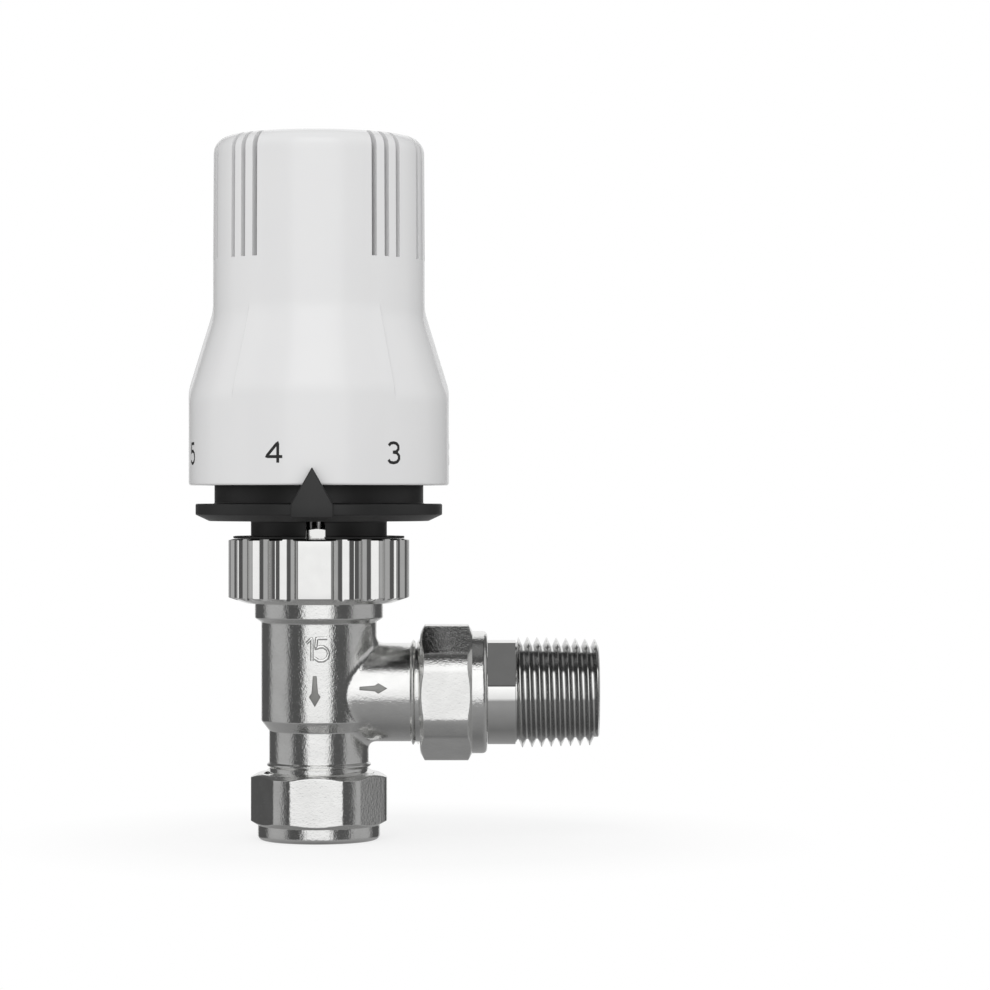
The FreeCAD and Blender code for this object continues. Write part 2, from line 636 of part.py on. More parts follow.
def insert_body():
    # Brass headwork: the return spring stands on its floor and the gland nut screws in from above
    body = new_body("insert_body")
    guide = S.spindle_radius + S.spindle_clearance
    thread = S.insert_radius - S.thread_clearance
    flange = S.counterbore_radius - S.thread_clearance
    seat = S.counterbore_floor + S.thread_clearance
    turned(body, "blank", [
        (guide, S.insert_bottom),
        (thread, S.insert_bottom),
        (thread, seat),
        (flange, seat),
        (flange, S.insert_flange_top),
        (S.insert_boss_radius, S.insert_flange_top),
        (S.insert_boss_radius, S.insert_top),
        (S.gland_thread_radius, S.insert_top),
        (S.gland_thread_radius, S.gland_thread_start),
        (S.spring_room_radius, S.gland_thread_start),
        (S.spring_room_radius, S.insert_floor),
        (guide, S.insert_floor),
    ])
    # groove for the seal ring, just under the flange
    turned(body, "seal_groove", block_points(
        S.insert_radius - 2.1 * S.seal_section, seat - 3 * S.seal_section,
        thread + 1, seat - 0.8 * S.seal_section), cut=True)
    return body


def seal_ring(label, centre_radius, centre_height, section):
    # A rubber ring with an eight-sided section
    body = new_body(label)
    points = []
    for step in range(8):
        angle = math.radians(45.0 * step + 22.5)
        points.append((centre_radius + section * math.cos(angle), centre_height + section * math.sin(angle)))
    turned(body, "ring", points)
    return body


def gland_nut():
    # Hexagon head above, thread below, and room for the seal round the spindle
    body = new_body("gland_nut")
    guide = S.spindle_radius + S.spindle_clearance
    thread = S.gland_thread_radius - S.thread_clearance
    corner = S.gland_flats / math.sqrt(3)
    turned(body, "blank", [
        (S.gland_room_radius, S.gland_bottom),
        (thread, S.gland_bottom),
        (thread, S.gland_hex_start),
        (corner, S.gland_hex_start),
        (corner, S.gland_top),
        (guide, S.gland_top),
        (guide, S.gland_room_top),
        (S.gland_room_radius, S.gland_room_top),
    ])
    dressed(body, "Chamfer", "top_edge", [(corner, S.gland_top)], S.crown_chamfer)
    sketch = new_sketch(body, "XY_Plane", "flats_outline", S.gland_hex_start)
    add_hexagon(sketch, S.gland_flats)
    add_circle(sketch, 0.0, 0.0, corner + 2)
    padded(body, "flats", sketch, S.gland_top - S.gland_hex_start, cut=True, reverse=True)
    return body


def washer(label, inner, outer, low, thickness):
    body = new_body(label)
    turned(body, "disc", block_points(inner, low, outer, low + thickness))
    return body


def spindle():
    # Steel pin with a rounded top and a groove that holds the clip
    body = new_body("spindle")
    turned(body, "pin", block_points(0.0, S.spindle_bottom, S.spindle_radius, S.spindle_top))
    dressed(body, "Fillet", "top_edge", [(S.spindle_radius, S.spindle_top)], S.spindle_radius / 4)
    return body


def disc_holder():
    # Plate with a boss on the spindle and a stub through the seal
    body = new_body("disc_holder")
    seal_low = S.seat_top + S.seal_lift
    plate_low = seal_low + S.seal_thickness
    plate_high = plate_low + S.holder_plate
    turned(body, "blank", [
        (0.0, seal_low - S.seal_cap_thickness),
        (S.holder_stub_radius, seal_low - S.seal_cap_thickness),
        (S.holder_stub_radius, plate_low),
        (S.holder_radius, plate_low),
        (S.holder_radius, plate_high),
        (S.holder_boss_radius, plate_high),
        (S.holder_boss_radius, plate_high + S.holder_boss_height),
        (S.spindle_radius, plate_high + S.holder_boss_height),
        (S.spindle_radius, S.spindle_bottom),
        (0.0, S.spindle_bottom),
    ])
    return body


def coil_spring(label, mean_radius, wire, low, high, turns):
    # A six-sided wire wound between two heights
    radius = value(mean_radius)
    half = value(wire) / 2
    rise = value(high) - value(low) - value(wire)
    path = Part.makeHelix(rise / value(turns), rise, radius)
    corners = []
    for step in range(7):
        angle = math.radians(60.0 * step + 30.0)
        corners.append(FreeCAD.Vector(radius + half * math.cos(angle), 0, half * math.sin(angle)))
    section = Part.makePolygon(corners)
    coil = Part.Wire(path).makePipeShell([section], True, True)
    spring = DOC.addObject("Part::Feature", label)
    spring.Label = label
    spring.Shape = coil
    spring.Placement = FreeCAD.Placement(FreeCAD.Vector(0, 0, value(low) + half), FreeCAD.Rotation())
    return spring


def ring_nut():
    # Knurled ring: flutes all round but for two plain pads, thread inside, lip that clamps the base
    body = new_body("ring_nut")
    bore = S.crown_radius + S.thread_clearance
    turned(body, "blank", [
        (S.ring_lip_radius, S.ring_low),
        (S.ring_foot_radius, S.ring_low),
        (S.ring_radius, S.ring_edge_low),
        (S.ring_radius, S.ring_edge_high),
        (S.ring_top_radius, S.ring_high),
        (S.ring_lip_radius, S.ring_high),
        (S.ring_lip_radius, S.ring_lip_low),
        (bore, S.ring_lip_low),
        (bore, S.ring_thread_start),
    ])
    span = S.flute_pitch * (S.flute_run - 1)
    for name, start in (("right", -0.5 * span), ("left", 180 - 0.5 * span)):
        sketch = new_sketch(body, "XY_Plane", name + "_flute_outline", S.ring_low, start)
        add_circle(sketch, S.ring_radius - S.flute_depth + S.flute_radius, 0.0, S.flute_radius)
        flute = padded(body, name + "_flute", sketch, S.ring_high - S.ring_low, cut=True, reverse=True)
        patterned(body, name + "_flutes", [flute], S.flute_run, span)
    return body


def head_base():
    # Foot, slotted neck, flange, sleeve and guide tube in one moulding, with pointer and stop lug
    body = new_body("head_base")
    turned(body, "blank", [
        (S.base_neck_bore, S.base_foot_low),
        (S.base_foot_radius, S.base_foot_low),
        (S.base_foot_radius, S.base_foot_high),
        (S.base_neck_radius, S.base_foot_high),
        (S.base_neck_radius, S.base_collar_low),
        (S.base_collar_radius, S.base_collar_low),
        (S.base_collar_radius, S.base_collar_high),
        (S.base_neck_radius, S.base_collar_high),
        (S.base_neck_radius, S.flange_low),
        (S.flange_inner_radius, S.flange_low),
        (S.flange_radius, S.flange_edge),
        (S.flange_radius, S.flange_high),
        (S.base_sleeve_radius, S.flange_high),
        (S.base_sleeve_radius, S.base_sleeve_high),
        (S.guide_radius, S.base_sleeve_high),
        (S.guide_radius, S.guide_high),
        (S.guide_bore, S.guide_high),
        (S.guide_bore, S.flange_high),
        (S.rod_hole_radius, S.flange_high),
        (S.rod_hole_radius, S.flange_low),
        (S.base_neck_bore, S.flange_low),
    ])
    slots = new_sketch(body, "XY_Plane", "slots_outline", S.base_foot_low)
    half = S.base_slot_width / 2
    rim = S.base_collar_radius + 1
    inner = S.base_neck_bore - 1
    add_loop(slots, block_points(-half, -rim, half, -inner))
    add_loop(slots, block_points(-half, inner, half, rim))
    add_loop(slots, block_points(-rim, -half, -inner, half))
    add_loop(slots, block_points(inner, -half, rim, half))
    padded(body, "slots", slots, S.flange_low - S.base_foot_low, cut=True, reverse=True)
    keyways = new_sketch(body, "XY_Plane", "keyways_outline", S.keyway_low)
    half = S.keyway_width / 2
    inner = S.guide_bore - 1
    add_loop(keyways, block_points(inner, -half, S.keyway_radius, half))
    add_loop(keyways, block_points(-S.keyway_radius, -half, -inner, half))
    padded(body, "keyways", keyways, S.guide_high - S.keyway_low, cut=True, reverse=True)
    # the lug stands at the back, +Y, on the shoulder between sleeve and guide tube
    turned(body, "stop_lug", block_points(
        S.stop_lug_inner, S.base_sleeve_high - 1, S.stop_lug_outer, S.stop_lug_high),
        angle=S.stop_lug_angle, role="YZ_Plane")
    arm = new_sketch(body, "XZ_Plane", "pointer_arm_outline", S.flange_radius - 1)
    half = S.pointer_width / 2
    add_loop(arm, block_points(-half, S.pointer_low, half, S.pointer_shoulder))
    padded(body, "pointer_arm", arm, S.pointer_back - S.flange_radius + 1.2)
    pointer = new_sketch(body, "XZ_Plane", "pointer_outline", S.pointer_back)
    add_loop(pointer, [(-half, S.pointer_low), (half, S.pointer_low), (half, S.pointer_shoulder),
                       (0.0, S.pointer_tip), (-half, S.pointer_shoulder)])
    padded(body, "pointer", pointer, S.pointer_thickness)
    return body


def push_rod():
    # Pushes the spindle down: a foot in the base's hole and a rod that enters the capsule
    body = new_body("push_rod")
    foot_top = S.spindle_top + S.rod_foot_height
    turned(body, "rod", [
        (0.0, S.spindle_top),
        (S.rod_foot_radius, S.spindle_top),
        (S.rod_foot_radius, foot_top),
        (S.rod_radius, foot_top),
        (S.rod_radius, S.rod_top),
        (0.0, S.rod_top),
    ])
    return body


def sensor_carrier():
    # Cup round the capsule, with two keys that slide in the base's grooves
    body = new_body("sensor_carrier")
    outer = S.guide_bore - S.carrier_clearance
    inner = S.capsule_radius + S.thread_clearance
    floor = S.carrier_low + S.carrier_floor
    turned(body, "cup", [
        (S.carrier_hole_radius, S.carrier_low),
        (outer, S.carrier_low),
        (outer, S.carrier_high),
        (inner, S.carrier_high),
        (inner, floor),
        (S.carrier_hole_radius, floor),
    ])
    keys = new_sketch(body, "XY_Plane", "keys_outline", S.carrier_low)
    half = S.key_width / 2
    root = outer - 1
    add_loop(keys, block_points(root, -half, S.key_radius, half))
    add_loop(keys, block_points(-S.key_radius, -half, -root, half))
    padded(body, "keys", keys, S.carrier_high - S.carrier_low)
    return body


def sensor_capsule():
    # Sealed metal can with a bore for the push rod and a collar that the handle lifts
    body = new_body("sensor_capsule")
    bore = S.rod_radius + S.rod_clearance
    floor = S.carrier_low + S.carrier_floor
    turned(body, "can", [
        (bore, floor),
        (S.capsule_radius, floor),
        (S.capsule_radius, S.capsule_collar_low),
        (S.capsule_collar_radius, S.capsule_collar_low),
        (S.capsule_collar_radius, S.capsule_collar_high),
        (S.capsule_radius, S.capsule_collar_high),
        (S.capsule_radius, S.capsule_top),
        (0.0, S.capsule_top),
        (0.0, S.capsule_bore_top),
        (bore, S.capsule_bore_top),
    ])
    dressed(body, "Fillet", "top_edge", [(S.capsule_radius, S.capsule_top)], S.capsule_round)
    return body


def spring_plate():
    # Plate on the overtravel spring, held off the cap's roof by its boss
    body = new_body("spring_plate")
    plate_top = S.plate_low + S.plate_thickness
    roof = S.cap_high - S.cap_roof
    turned(body, "plate", [
        (S.plate_boss_bore, S.plate_low),
        (S.plate_radius, S.plate_low),
        (S.plate_radius, plate_top),
        (S.plate_boss_radius, plate_top),
        (S.plate_boss_radius, roof),
        (S.plate_boss_bore, roof),
    ])
    return body


def handle_cap():
    # White cap: skirt, flare with three raised pads, grip with six groups of air slots
    body = new_body("handle_cap")
    inner = S.cap_radius - S.cap_wall
    inner_grip = S.cap_grip_radius - S.cap_wall
    recess_low = S.flare_low - S.recess_drop
    recess_high = S.flare_high - S.recess_drop
    roof = S.cap_high - S.cap_roof
    turned(body, "shell", [
        (inner, S.cap_low),
        (S.cap_radius, S.cap_low),
        (S.cap_radius, recess_low),
        (S.cap_grip_radius, recess_high),
        (S.cap_grip_radius, S.flare_high),
        (S.cap_grip_top_radius, S.cap_high),
        (0.0, S.cap_high),
        (0.0, roof),
        (inner_grip, roof),
        (inner_grip, recess_high),
        (inner, recess_low),
    ])
    dressed(body, "Fillet", "top_edge", [(S.cap_grip_top_radius, S.cap_high)], S.cap_round)
    # a pad fills the corner between the plain flare and the raised one
    inset = S.cap_wall / 2
    pad = turned(body, "pad", [
        (-(S.cap_radius - inset), recess_low),
        (-S.cap_radius, recess_low),
        (-S.cap_radius, S.flare_low),
        (-S.cap_grip_radius, S.flare_high),
        (-(S.cap_grip_radius - inset), S.flare_high),
        (-(S.cap_grip_radius - inset), recess_high),
    ], angle=S.pad_angle, role="YZ_Plane")
    patterned(body, "pads", [pad], 3, 360.0)
    slots = []
    for side in (-1, 1):
        for step in (-1, 0, 1):
            turn = -90 + side * (S.slot_group_turn + step * S.slot_pitch)
            name = "slot_%s_%d" % ("left" if side < 0 else "right", step + 2)
            sketch = new_sketch(body, "XY_Plane", name + "_outline", S.slot_low, turn)
            half = S.slot_width / 2
            add_loop(sketch, block_points(S.slot_inner, -half, S.cap_grip_radius + 1, half))
            slots.append(padded(body, name, sketch, S.cap_high - S.slot_low + 1, cut=True, reverse=True))
    patterned(body, "slots", slots, 3, 360.0)
    return body


def handle_sleeve():
    # Turns on the guide tube, fits the cap with its rim and lifts the capsule with its ledge
    body = new_body("handle_sleeve")
    bore = S.guide_radius + S.sleeve_clearance
    rim = S.cap_radius - S.cap_wall - S.rim_clearance
    turned(body, "tube", [
        (bore, S.sleeve_low),
        (S.sleeve_radius, S.sleeve_low),
        (S.sleeve_radius, S.sleeve_rim_low),
        (rim, S.sleeve_rim_low),
        (rim, S.sleeve_rim_high),
        (S.sleeve_radius, S.sleeve_rim_high),
        (S.sleeve_radius, S.sleeve_step),
        (S.sleeve_neck_radius, S.sleeve_step),
        (S.sleeve_neck_radius, S.sleeve_high),
        (S.sleeve_ledge_radius, S.sleeve_high),
        (S.sleeve_ledge_radius, S.sleeve_ledge_low),
        (bore, S.sleeve_ledge_low),
    ])
    return body


def stop_ring():
    # Ring inside the cap whose lug meets the base's lug at both ends of the turn
    body = new_body("stop_ring")
    outer = S.cap_radius - S.cap_wall - S.rim_clearance
    turned(body, "ring", block_points(S.stop_ring_inner, S.stop_ring_low, outer, S.stop_ring_high))
    free_turn = S.closing_turn + S.opening_turn + 2 * S.stop_margin
    lug_angle = 360 - free_turn - S.stop_lug_angle
    turned(body, "lug", block_points(
        S.stop_ring_reach, S.stop_ring_low, S.stop_ring_inner + 1, S.stop_ring_high), angle=lug_angle)
    # the lug is drawn round +X, and at rest it stands back from the base's lug by the opening turn
    from_lug = S.opening_turn + S.stop_margin + (lug_angle + S.stop_lug_angle) / 2
    body.Placement = FreeCAD.Placement(
        FreeCAD.Vector(), FreeCAD.Rotation(FreeCAD.Vector(0, 0, 1), 90 - value(from_lug)))
    body.setExpression("Placement.Rotation.Angle", "90 - %s" % from_lug.text)
    return body


def build():
    parts = [valve_body(), compression_nut("pipe_nut"), olive("pipe_olive")]
    for piece in (compression_nut("tail_nut"), olive("tail_olive")):
        set_place(piece, S.tail_nut_face, S.branch_height, along_x="back")
        parts.append(piece)
    parts.append(radiator_tail())
    parts.append(insert_body())
    section = S.seal_section
    seat = S.counterbore_floor + S.thread_clearance
    seal_centre = S.insert_radius - 1.03 * section
    parts.append(seal_ring("insert_seal", seal_centre, seat - 1.9 * section, section))
    parts.append(gland_nut())
    gland_centre = S.spindle_radius + S.spindle_clearance + section
    parts.append(seal_ring("gland_seal", gland_centre, S.gland_room_top - 1.05 * section, section))
    parts.append(washer("gland_washer", S.spindle_radius + S.spindle_clearance, S.gland_room_radius,
                        S.gland_washer_low, S.gland_washer_thickness))
    parts.append(spindle())
    clip_low = S.insert_floor + S.return_spring_length
    parts.append(washer("spindle_clip", S.spindle_radius, S.clip_radius, clip_low, S.clip_thickness))
    parts.append(coil_spring("return_spring", S.return_spring_radius, S.return_wire,
                             S.insert_floor, clip_low, S.return_turns))
    parts.append(disc_holder())
    seal_low = S.seat_top + S.seal_lift
    parts.append(washer("seat_seal", S.holder_stub_radius, S.seal_radius, seal_low, S.seal_thickness))
    parts.append(washer("seal_cap", S.holder_stub_radius, S.seal_cap_radius,
                        seal_low - S.seal_cap_thickness, S.seal_cap_thickness))
    parts.append(ring_nut())
    parts.append(head_base())
    parts.append(push_rod())
    parts.append(sensor_carrier())
    parts.append(sensor_capsule())
    parts.append(coil_spring("overtravel_spring", S.overtravel_radius, S.overtravel_wire,
                             S.capsule_collar_high, S.plate_low, S.overtravel_turns))
    parts.append(spring_plate())
    parts.append(handle_cap())
    parts.append(handle_sleeve())
    parts.append(stop_ring())
    return parts


def check(parts):
    for thing in DOC.Objects:
        if "Invalid" in thing.State or "Error" in thing.State:
            raise ValueError("%s failed: %s" % (thing.Name, thing.State))
    for part in parts:
        shape = part.Shape
        if shape.isNull() or not shape.isValid() or shape.Volume <= 0:
            raise ValueError("%s has no valid solid" % part.Label)


PARTS = build()
DOC.recompute()
check(PARTS)
os.makedirs("parts", exist_ok=True)
for part in PARTS:
    part.Shape.exportStep("parts/%s.step" % part.Label)
    print("%-18s %d solid(s) %10.2f mm3" % (part.Label, len(part.Shape.Solids), part.Shape.Volume))
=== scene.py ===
import json
import math

import bmesh
import bpy
from mathutils import Matrix, Vector

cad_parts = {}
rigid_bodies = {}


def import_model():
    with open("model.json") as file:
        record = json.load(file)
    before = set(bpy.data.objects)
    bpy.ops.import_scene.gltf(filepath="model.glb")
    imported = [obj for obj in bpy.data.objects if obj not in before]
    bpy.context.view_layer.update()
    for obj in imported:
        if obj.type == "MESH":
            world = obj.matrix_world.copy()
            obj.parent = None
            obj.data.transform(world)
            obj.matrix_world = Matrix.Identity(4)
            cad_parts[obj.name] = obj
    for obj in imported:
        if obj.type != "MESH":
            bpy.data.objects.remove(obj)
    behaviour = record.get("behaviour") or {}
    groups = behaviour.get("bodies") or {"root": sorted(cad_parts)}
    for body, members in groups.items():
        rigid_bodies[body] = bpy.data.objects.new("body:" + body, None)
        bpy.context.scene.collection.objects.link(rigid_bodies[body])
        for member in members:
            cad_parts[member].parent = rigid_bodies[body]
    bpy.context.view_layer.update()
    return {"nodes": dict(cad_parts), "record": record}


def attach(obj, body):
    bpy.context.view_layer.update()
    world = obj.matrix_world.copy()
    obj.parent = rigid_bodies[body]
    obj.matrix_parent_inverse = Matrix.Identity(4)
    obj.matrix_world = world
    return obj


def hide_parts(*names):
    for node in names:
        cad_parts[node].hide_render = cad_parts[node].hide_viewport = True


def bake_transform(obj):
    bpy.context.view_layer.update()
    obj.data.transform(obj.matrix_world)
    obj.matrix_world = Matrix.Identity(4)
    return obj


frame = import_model()
mm = 0.001
print("frame loaded, %d nodes" % len(frame["nodes"]))


# a socket whose sums become Math nodes
class Wire:
    def __init__(self, tree, socket=None):
        self.tree = tree
        self.socket = socket

    def node(self, kind, settings=None, inputs=None, output=0):
        made = self.tree.nodes.new(kind)
        for name, setting in (settings or {}).items():
            if name == "stops":
                fillRamp(made.color_ramp, setting)
            else:
                setattr(made, name, setting)
        for key, given in (inputs or {}).items():
            if isinstance(given, Wire):
                self.tree.links.new(given.socket, made.inputs[key])
            else:
                made.inputs[key].default_value = given
        return Wire(self.tree, made.outputs[output])

    def maths(self, operation, other, swapped=False):
        first, second = (other, self) if swapped else (self, other)
        return self.node("ShaderNodeMath", {"operation": operation}, {0: first, 1: second})

    def __add__(self, other):
        return self.maths("ADD", other)

    def __radd__(self, other):
        return self.maths("ADD", other, True)

    def __sub__(self, other):
        return self.maths("SUBTRACT", other)

    def __rsub__(self, other):
        return self.maths("SUBTRACT", other, True)

    def __mul__(self, other):
        return self.maths("MULTIPLY", other)

    def __rmul__(self, other):
        return self.maths("MULTIPLY", other, True)


def fillRamp(ramp, stops):
    while len(ramp.elements) < len(stops):
        ramp.elements.new(1.0)
    for element, (place, colour) in zip(ramp.elements, stops):
        element.position = place
        element.color = colour if len(colour) == 4 else (*colour, 1.0)


def grey(level):
    return (level, level, level, 1.0)


def noise(wire, coords, size, detail=2.0, roughness=0.5):
    return wire.node("ShaderNodeTexNoise", {"noise_dimensions": "3D"}, {
        "Vector": coords, "Scale": 1.0 / size, "Detail": detail, "Roughness": roughness})


def spread(wire, source, low, high, toLow, toHigh):
    return wire.node("ShaderNodeMapRange", {"clamp": True}, {
        "Value": source, "From Min": low, "From Max": high, "To Min": toLow, "To Max": toHigh})


def mixColour(wire, factor, first, second):
    made = wire.tree.nodes.new("ShaderNodeMix")
    made.data_type = "RGBA"
    pairs = (("Factor_Float", factor), ("A_Color", first), ("B_Color", second))
    for identifier, given in pairs:
        socket = next(s for s in made.inputs if s.identifier == identifier)
        if isinstance(given, Wire):
            wire.tree.links.new(given.socket, socket)
        else:
            socket.default_value = given
    found = next(s for s in made.outputs if s.identifier == "Result_Color")
    return Wire(wire.tree, found)


def newMaterial(name, fixed):
    # fixed: values that are the same all over, set on the shader itself
    material = bpy.data.materials.new(name)
    material.use_nodes = True
    tree = material.node_tree
    shader = tree.nodes["Principled BSDF"]
    for key, given in fixed.items():
        shader.inputs[key].default_value = given
    wire = Wire(tree)
    coords = wire.node("ShaderNodeTexCoord", output="Object")
    return material, wire, shader, coords


def plug(wire, shader, **links):
    for key, source in links.items():
        wire.tree.links.new(source.socket, shader.inputs[key.replace("_", " ")])


def bump(wire, height, strength, distance):
    return wire.node("ShaderNodeBump", inputs={
        "Height": height, "Strength": strength, "Distance": distance}, output="Normal")


def castNickel(name, depth, rough, level=0.80):
    # plated casting: the mould's grain shows through the bright plate as orange peel
    sizes = {"peel": 0.58 * mm, "grain": 0.24 * mm, "blotch": 4.5 * mm}
    material, wire, shader, coords = newMaterial(name, {"Metallic": 1.0})
    peel = noise(wire, coords, sizes["peel"], 2.0, 0.55)
    grain = noise(wire, coords, sizes["grain"], 2.0, 0.6)
    blotch = noise(wire, coords, sizes["blotch"], 2.0, 0.5)
    pits = spread(wire, grain, 0.60, 0.74, 0.0, 1.0)
    height = peel + grain * 0.7 - pits * 0.1
    tone = spread(wire, blotch, 0.35, 0.65, 0.0, 1.0)
    bright = level + 0.06
    colour = mixColour(wire, tone, (level, level, level - 0.01, 1), (bright, bright, bright - 0.01, 1))
    # the pits are also painted a little darker: painted shade in them
    colour = mixColour(wire, pits * 0.2, colour, grey(level * 0.75))
    plug(wire, shader, Base_Color=colour,
         Roughness=spread(wire, blotch, 0.3, 0.7, rough, rough + 0.05),
         Normal=bump(wire, height, 1.0, depth * mm))
    return material


def turnedNickel():
    # plated turned metal: almost a mirror, with the faint waviness of the plate
    sizes = {"wave": 2.4 * mm, "fine": 0.25 * mm}
    material, wire, shader, coords = newMaterial("turnedNickel", {"Metallic": 1.0})
    wave = noise(wire, coords, sizes["wave"], 1.0, 0.4)
    fine = noise(wire, coords, sizes["fine"], 2.0, 0.6)
    colour = mixColour(wire, wave, (0.80, 0.80, 0.79, 1), (0.87, 0.87, 0.86, 1))
    plug(wire, shader, Base_Color=colour,
         Roughness=spread(wire, fine, 0.3, 0.7, 0.055, 0.095),
         Normal=bump(wire, wave + fine * 0.05, 1.0, 0.006 * mm))
    return material


def threadNickel():
    # the plate is rougher in the taper thread's grooves, and the grooves are painted darker than the crests:
    # painted shade
    sizes = {"axisHeight": 27.8 * mm, "start": 37.34 * mm, "taper": 1 / 32, "groove": 8.95 * mm,
             "crest": 10.3 * mm, "fine": 0.25 * mm}
    material, wire, shader, coords = newMaterial("threadNickel", {"Metallic": 1.0})
    centred = wire.node("ShaderNodeVectorMath", {"operation": "SUBTRACT"},
                        {0: coords, 1: (sizes["start"], 0.0, sizes["axisHeight"])}, output="Vector")
    across = wire.node("ShaderNodeVectorMath", {"operation": "MULTIPLY"},
                       {0: centred, 1: (0.0, 1.0, 1.0)}, output="Vector")
    away = wire.node("ShaderNodeVectorMath", {"operation": "LENGTH"}, {0: across}, output="Value")
    along = wire.node("ShaderNodeSeparateXYZ", inputs={"Vector": centred}, output="X")
    proud = spread(wire, away + along * sizes["taper"], sizes["groove"], sizes["crest"], 0.0, 1.0)
    fine = noise(wire, coords, sizes["fine"], 2.0, 0.6)
    # painted shade: grey in the grooves, bright on the crests
    plug(wire, shader, Base_Color=mixColour(wire, proud * proud, grey(0.56), (0.84, 0.84, 0.83, 1)),
         Roughness=spread(wire, fine + proud * -0.2, 0.1, 0.7, 0.08, 0.2),
         Normal=bump(wire, fine, 1.0, 0.004 * mm))
    return material


def glossWhite():
    sizes = {"wave": 9.0 * mm, "fine": 0.5 * mm, "depth": 0.012 * mm}
    material, wire, shader, coords = newMaterial("glossWhite", {"IOR": 1.5})
    wave = noise(wire, coords, sizes["wave"], 2.0, 0.5)
    fine = noise(wire, coords, sizes["fine"], 2.0, 0.5)
    colour = mixColour(wire, wave, (0.735, 0.735, 0.74, 1), (0.755, 0.755, 0.755, 1))
    plug(wire, shader, Base_Color=colour, Roughness=spread(wire, fine, 0.3, 0.7, 0.16, 0.22),
         Normal=bump(wire, wave * 0.6 + fine * 0.06, 1.0, sizes["depth"]))
    return material


def satinPlastic(name, dark, light, rough=0.42, grainDepth=0.006):
    # moulded plastic with a fine spark-eroded grain
    sizes = {"blotch": 6.0 * mm, "grain": 0.16 * mm}
    material, wire, shader, coords = newMaterial(name, {"IOR": 1.5})
    blotch = noise(wire, coords, sizes["blotch"], 3.0, 0.5)
    grain = noise(wire, coords, sizes["grain"], 2.0, 0.6)
    plug(wire, shader, Base_Color=mixColour(wire, blotch, dark, light),
         Roughness=spread(wire, grain, 0.3, 0.7, rough - 0.05, rough + 0.07),
         Normal=bump(wire, grain, 1.0, grainDepth * mm))
    return material


def turnedBrass():
    sizes = {"ring": 0.22 * mm, "blotch": 3.0 * mm}
    material, wire, shader, coords = newMaterial("turnedBrass", {"Metallic": 1.0})
    blotch = noise(wire, coords, sizes["blotch"], 2.0, 0.5)
    lines = wire.node("ShaderNodeTexWave", {"wave_type": "BANDS", "bands_direction": "Z"}, {
        "Vector": coords, "Scale": 1.0 / sizes["ring"], "Distortion": 1.0}, output="Fac")
    plug(wire, shader, Base_Color=mixColour(wire, blotch, (0.74, 0.56, 0.26, 1), (0.83, 0.67, 0.36, 1)),
         Roughness=spread(wire, blotch, 0.3, 0.7, 0.16, 0.26), Normal=bump(wire, lines, 0.5, 0.004 * mm))
    return material


def drawnSteel(name="drawnSteel", level=0.62):
    sizes = {"streak": 0.2 * mm, "blotch": 2.0 * mm}
    material, wire, shader, coords = newMaterial(name, {"Metallic": 1.0})
    stretched = wire.node("ShaderNodeMapping", inputs={"Vector": coords, "Scale": (1.0, 1.0, 0.08)})
    streak = noise(wire, stretched, sizes["streak"], 3.0, 0.6)
    blotch = noise(wire, coords, sizes["blotch"], 2.0, 0.5)
    plug(wire, shader, Base_Color=mixColour(wire, blotch, grey(level - 0.04), grey(level + 0.06)),
         Roughness=spread(wire, streak, 0.3, 0.7, 0.2, 0.34), Normal=bump(wire, streak, 0.6, 0.003 * mm))
    return material


def mouldedRubber():
    material, wire, shader, coords = newMaterial("mouldedRubber", {"IOR": 1.5})
    grain = noise(wire, coords, 0.3 * mm, 3.0, 0.6)
    plug(wire, shader, Base_Color=mixColour(wire, grain, grey(0.012), grey(0.03)),
         Roughness=spread(wire, grain, 0.3, 0.7, 0.55, 0.7), Normal=bump(wire, grain, 0.8, 0.01 * mm))
    return material


def numeralPaint():
    material, wire, shader, coords = newMaterial("numeralPaint", {"IOR": 1.5})
    grain = noise(wire, coords, 0.12 * mm, 2.0, 0.6)
    plug(wire, shader, Base_Color=mixColour(wire, grain, grey(0.012), grey(0.022)),
         Roughness=spread(wire, grain, 0.3, 0.7, 0.4, 0.5), Normal=bump(wire, grain, 0.5, 0.004 * mm))
    return material


castMetal = castNickel("castNickel", 0.036, 0.035)
nutMetal = castNickel("nutNickel", 0.034, 0.035)
reliefMetal = castNickel("reliefNickel", 0.03, 0.4, 0.30)
brightMetal = turnedNickel()
threadMetal = threadNickel()
white = glossWhite()
black = satinPlastic("satinBlack", grey(0.012), grey(0.018))
greyPlastic = satinPlastic("plainGrey", grey(0.40), grey(0.46), 0.5)
brass = turnedBrass()
steel = drawnSteel()
canMetal = drawnSteel("drawnCan", 0.74)
rubber = mouldedRubber()
paint = numeralPaint()
print("materials made")


# profiles and turned pieces
def rounded(points, steps=6):
    # a point (r, z, radius) gets an arc of that radius, a point (r, z) stays sharp
    made = []
    count = len(points)
    for i, point in enumerate(points):
        if len(point) < 3:
            made.append(point)
            continue
        here = Vector(point[:2])
        before = (Vector(points[i - 1][:2]) - here).normalized()
        after = (Vector(points[(i + 1) % count][:2]) - here).normalized()
        half = before.angle(after) / 2
        reach = point[2] / math.tan(half)
        centre = here + (before + after).normalized() * (point[2] / math.sin(half))
        start = here + before * reach - centre
        end = here + after * reach - centre
        turn = start.angle_signed(end)
        for step in range(steps + 1):
            spin = Matrix.Rotation(-turn * step / steps, 2)
            made.append(tuple(centre + spin @ start))
    return made


def divided(points, pace):
    # adds points so that no stretch of the closed outline is longer than pace
    made = []
    for i, point in enumerate(points):
        following = points[(i + 1) % len(points)]
        length = math.dist(point, following)
        parts = max(1, math.ceil(length / pace))
        for k in range(parts):
            made.append((point[0] + (following[0] - point[0]) * k / parts,
                         point[1] + (following[1] - point[1]) * k / parts))
    return made


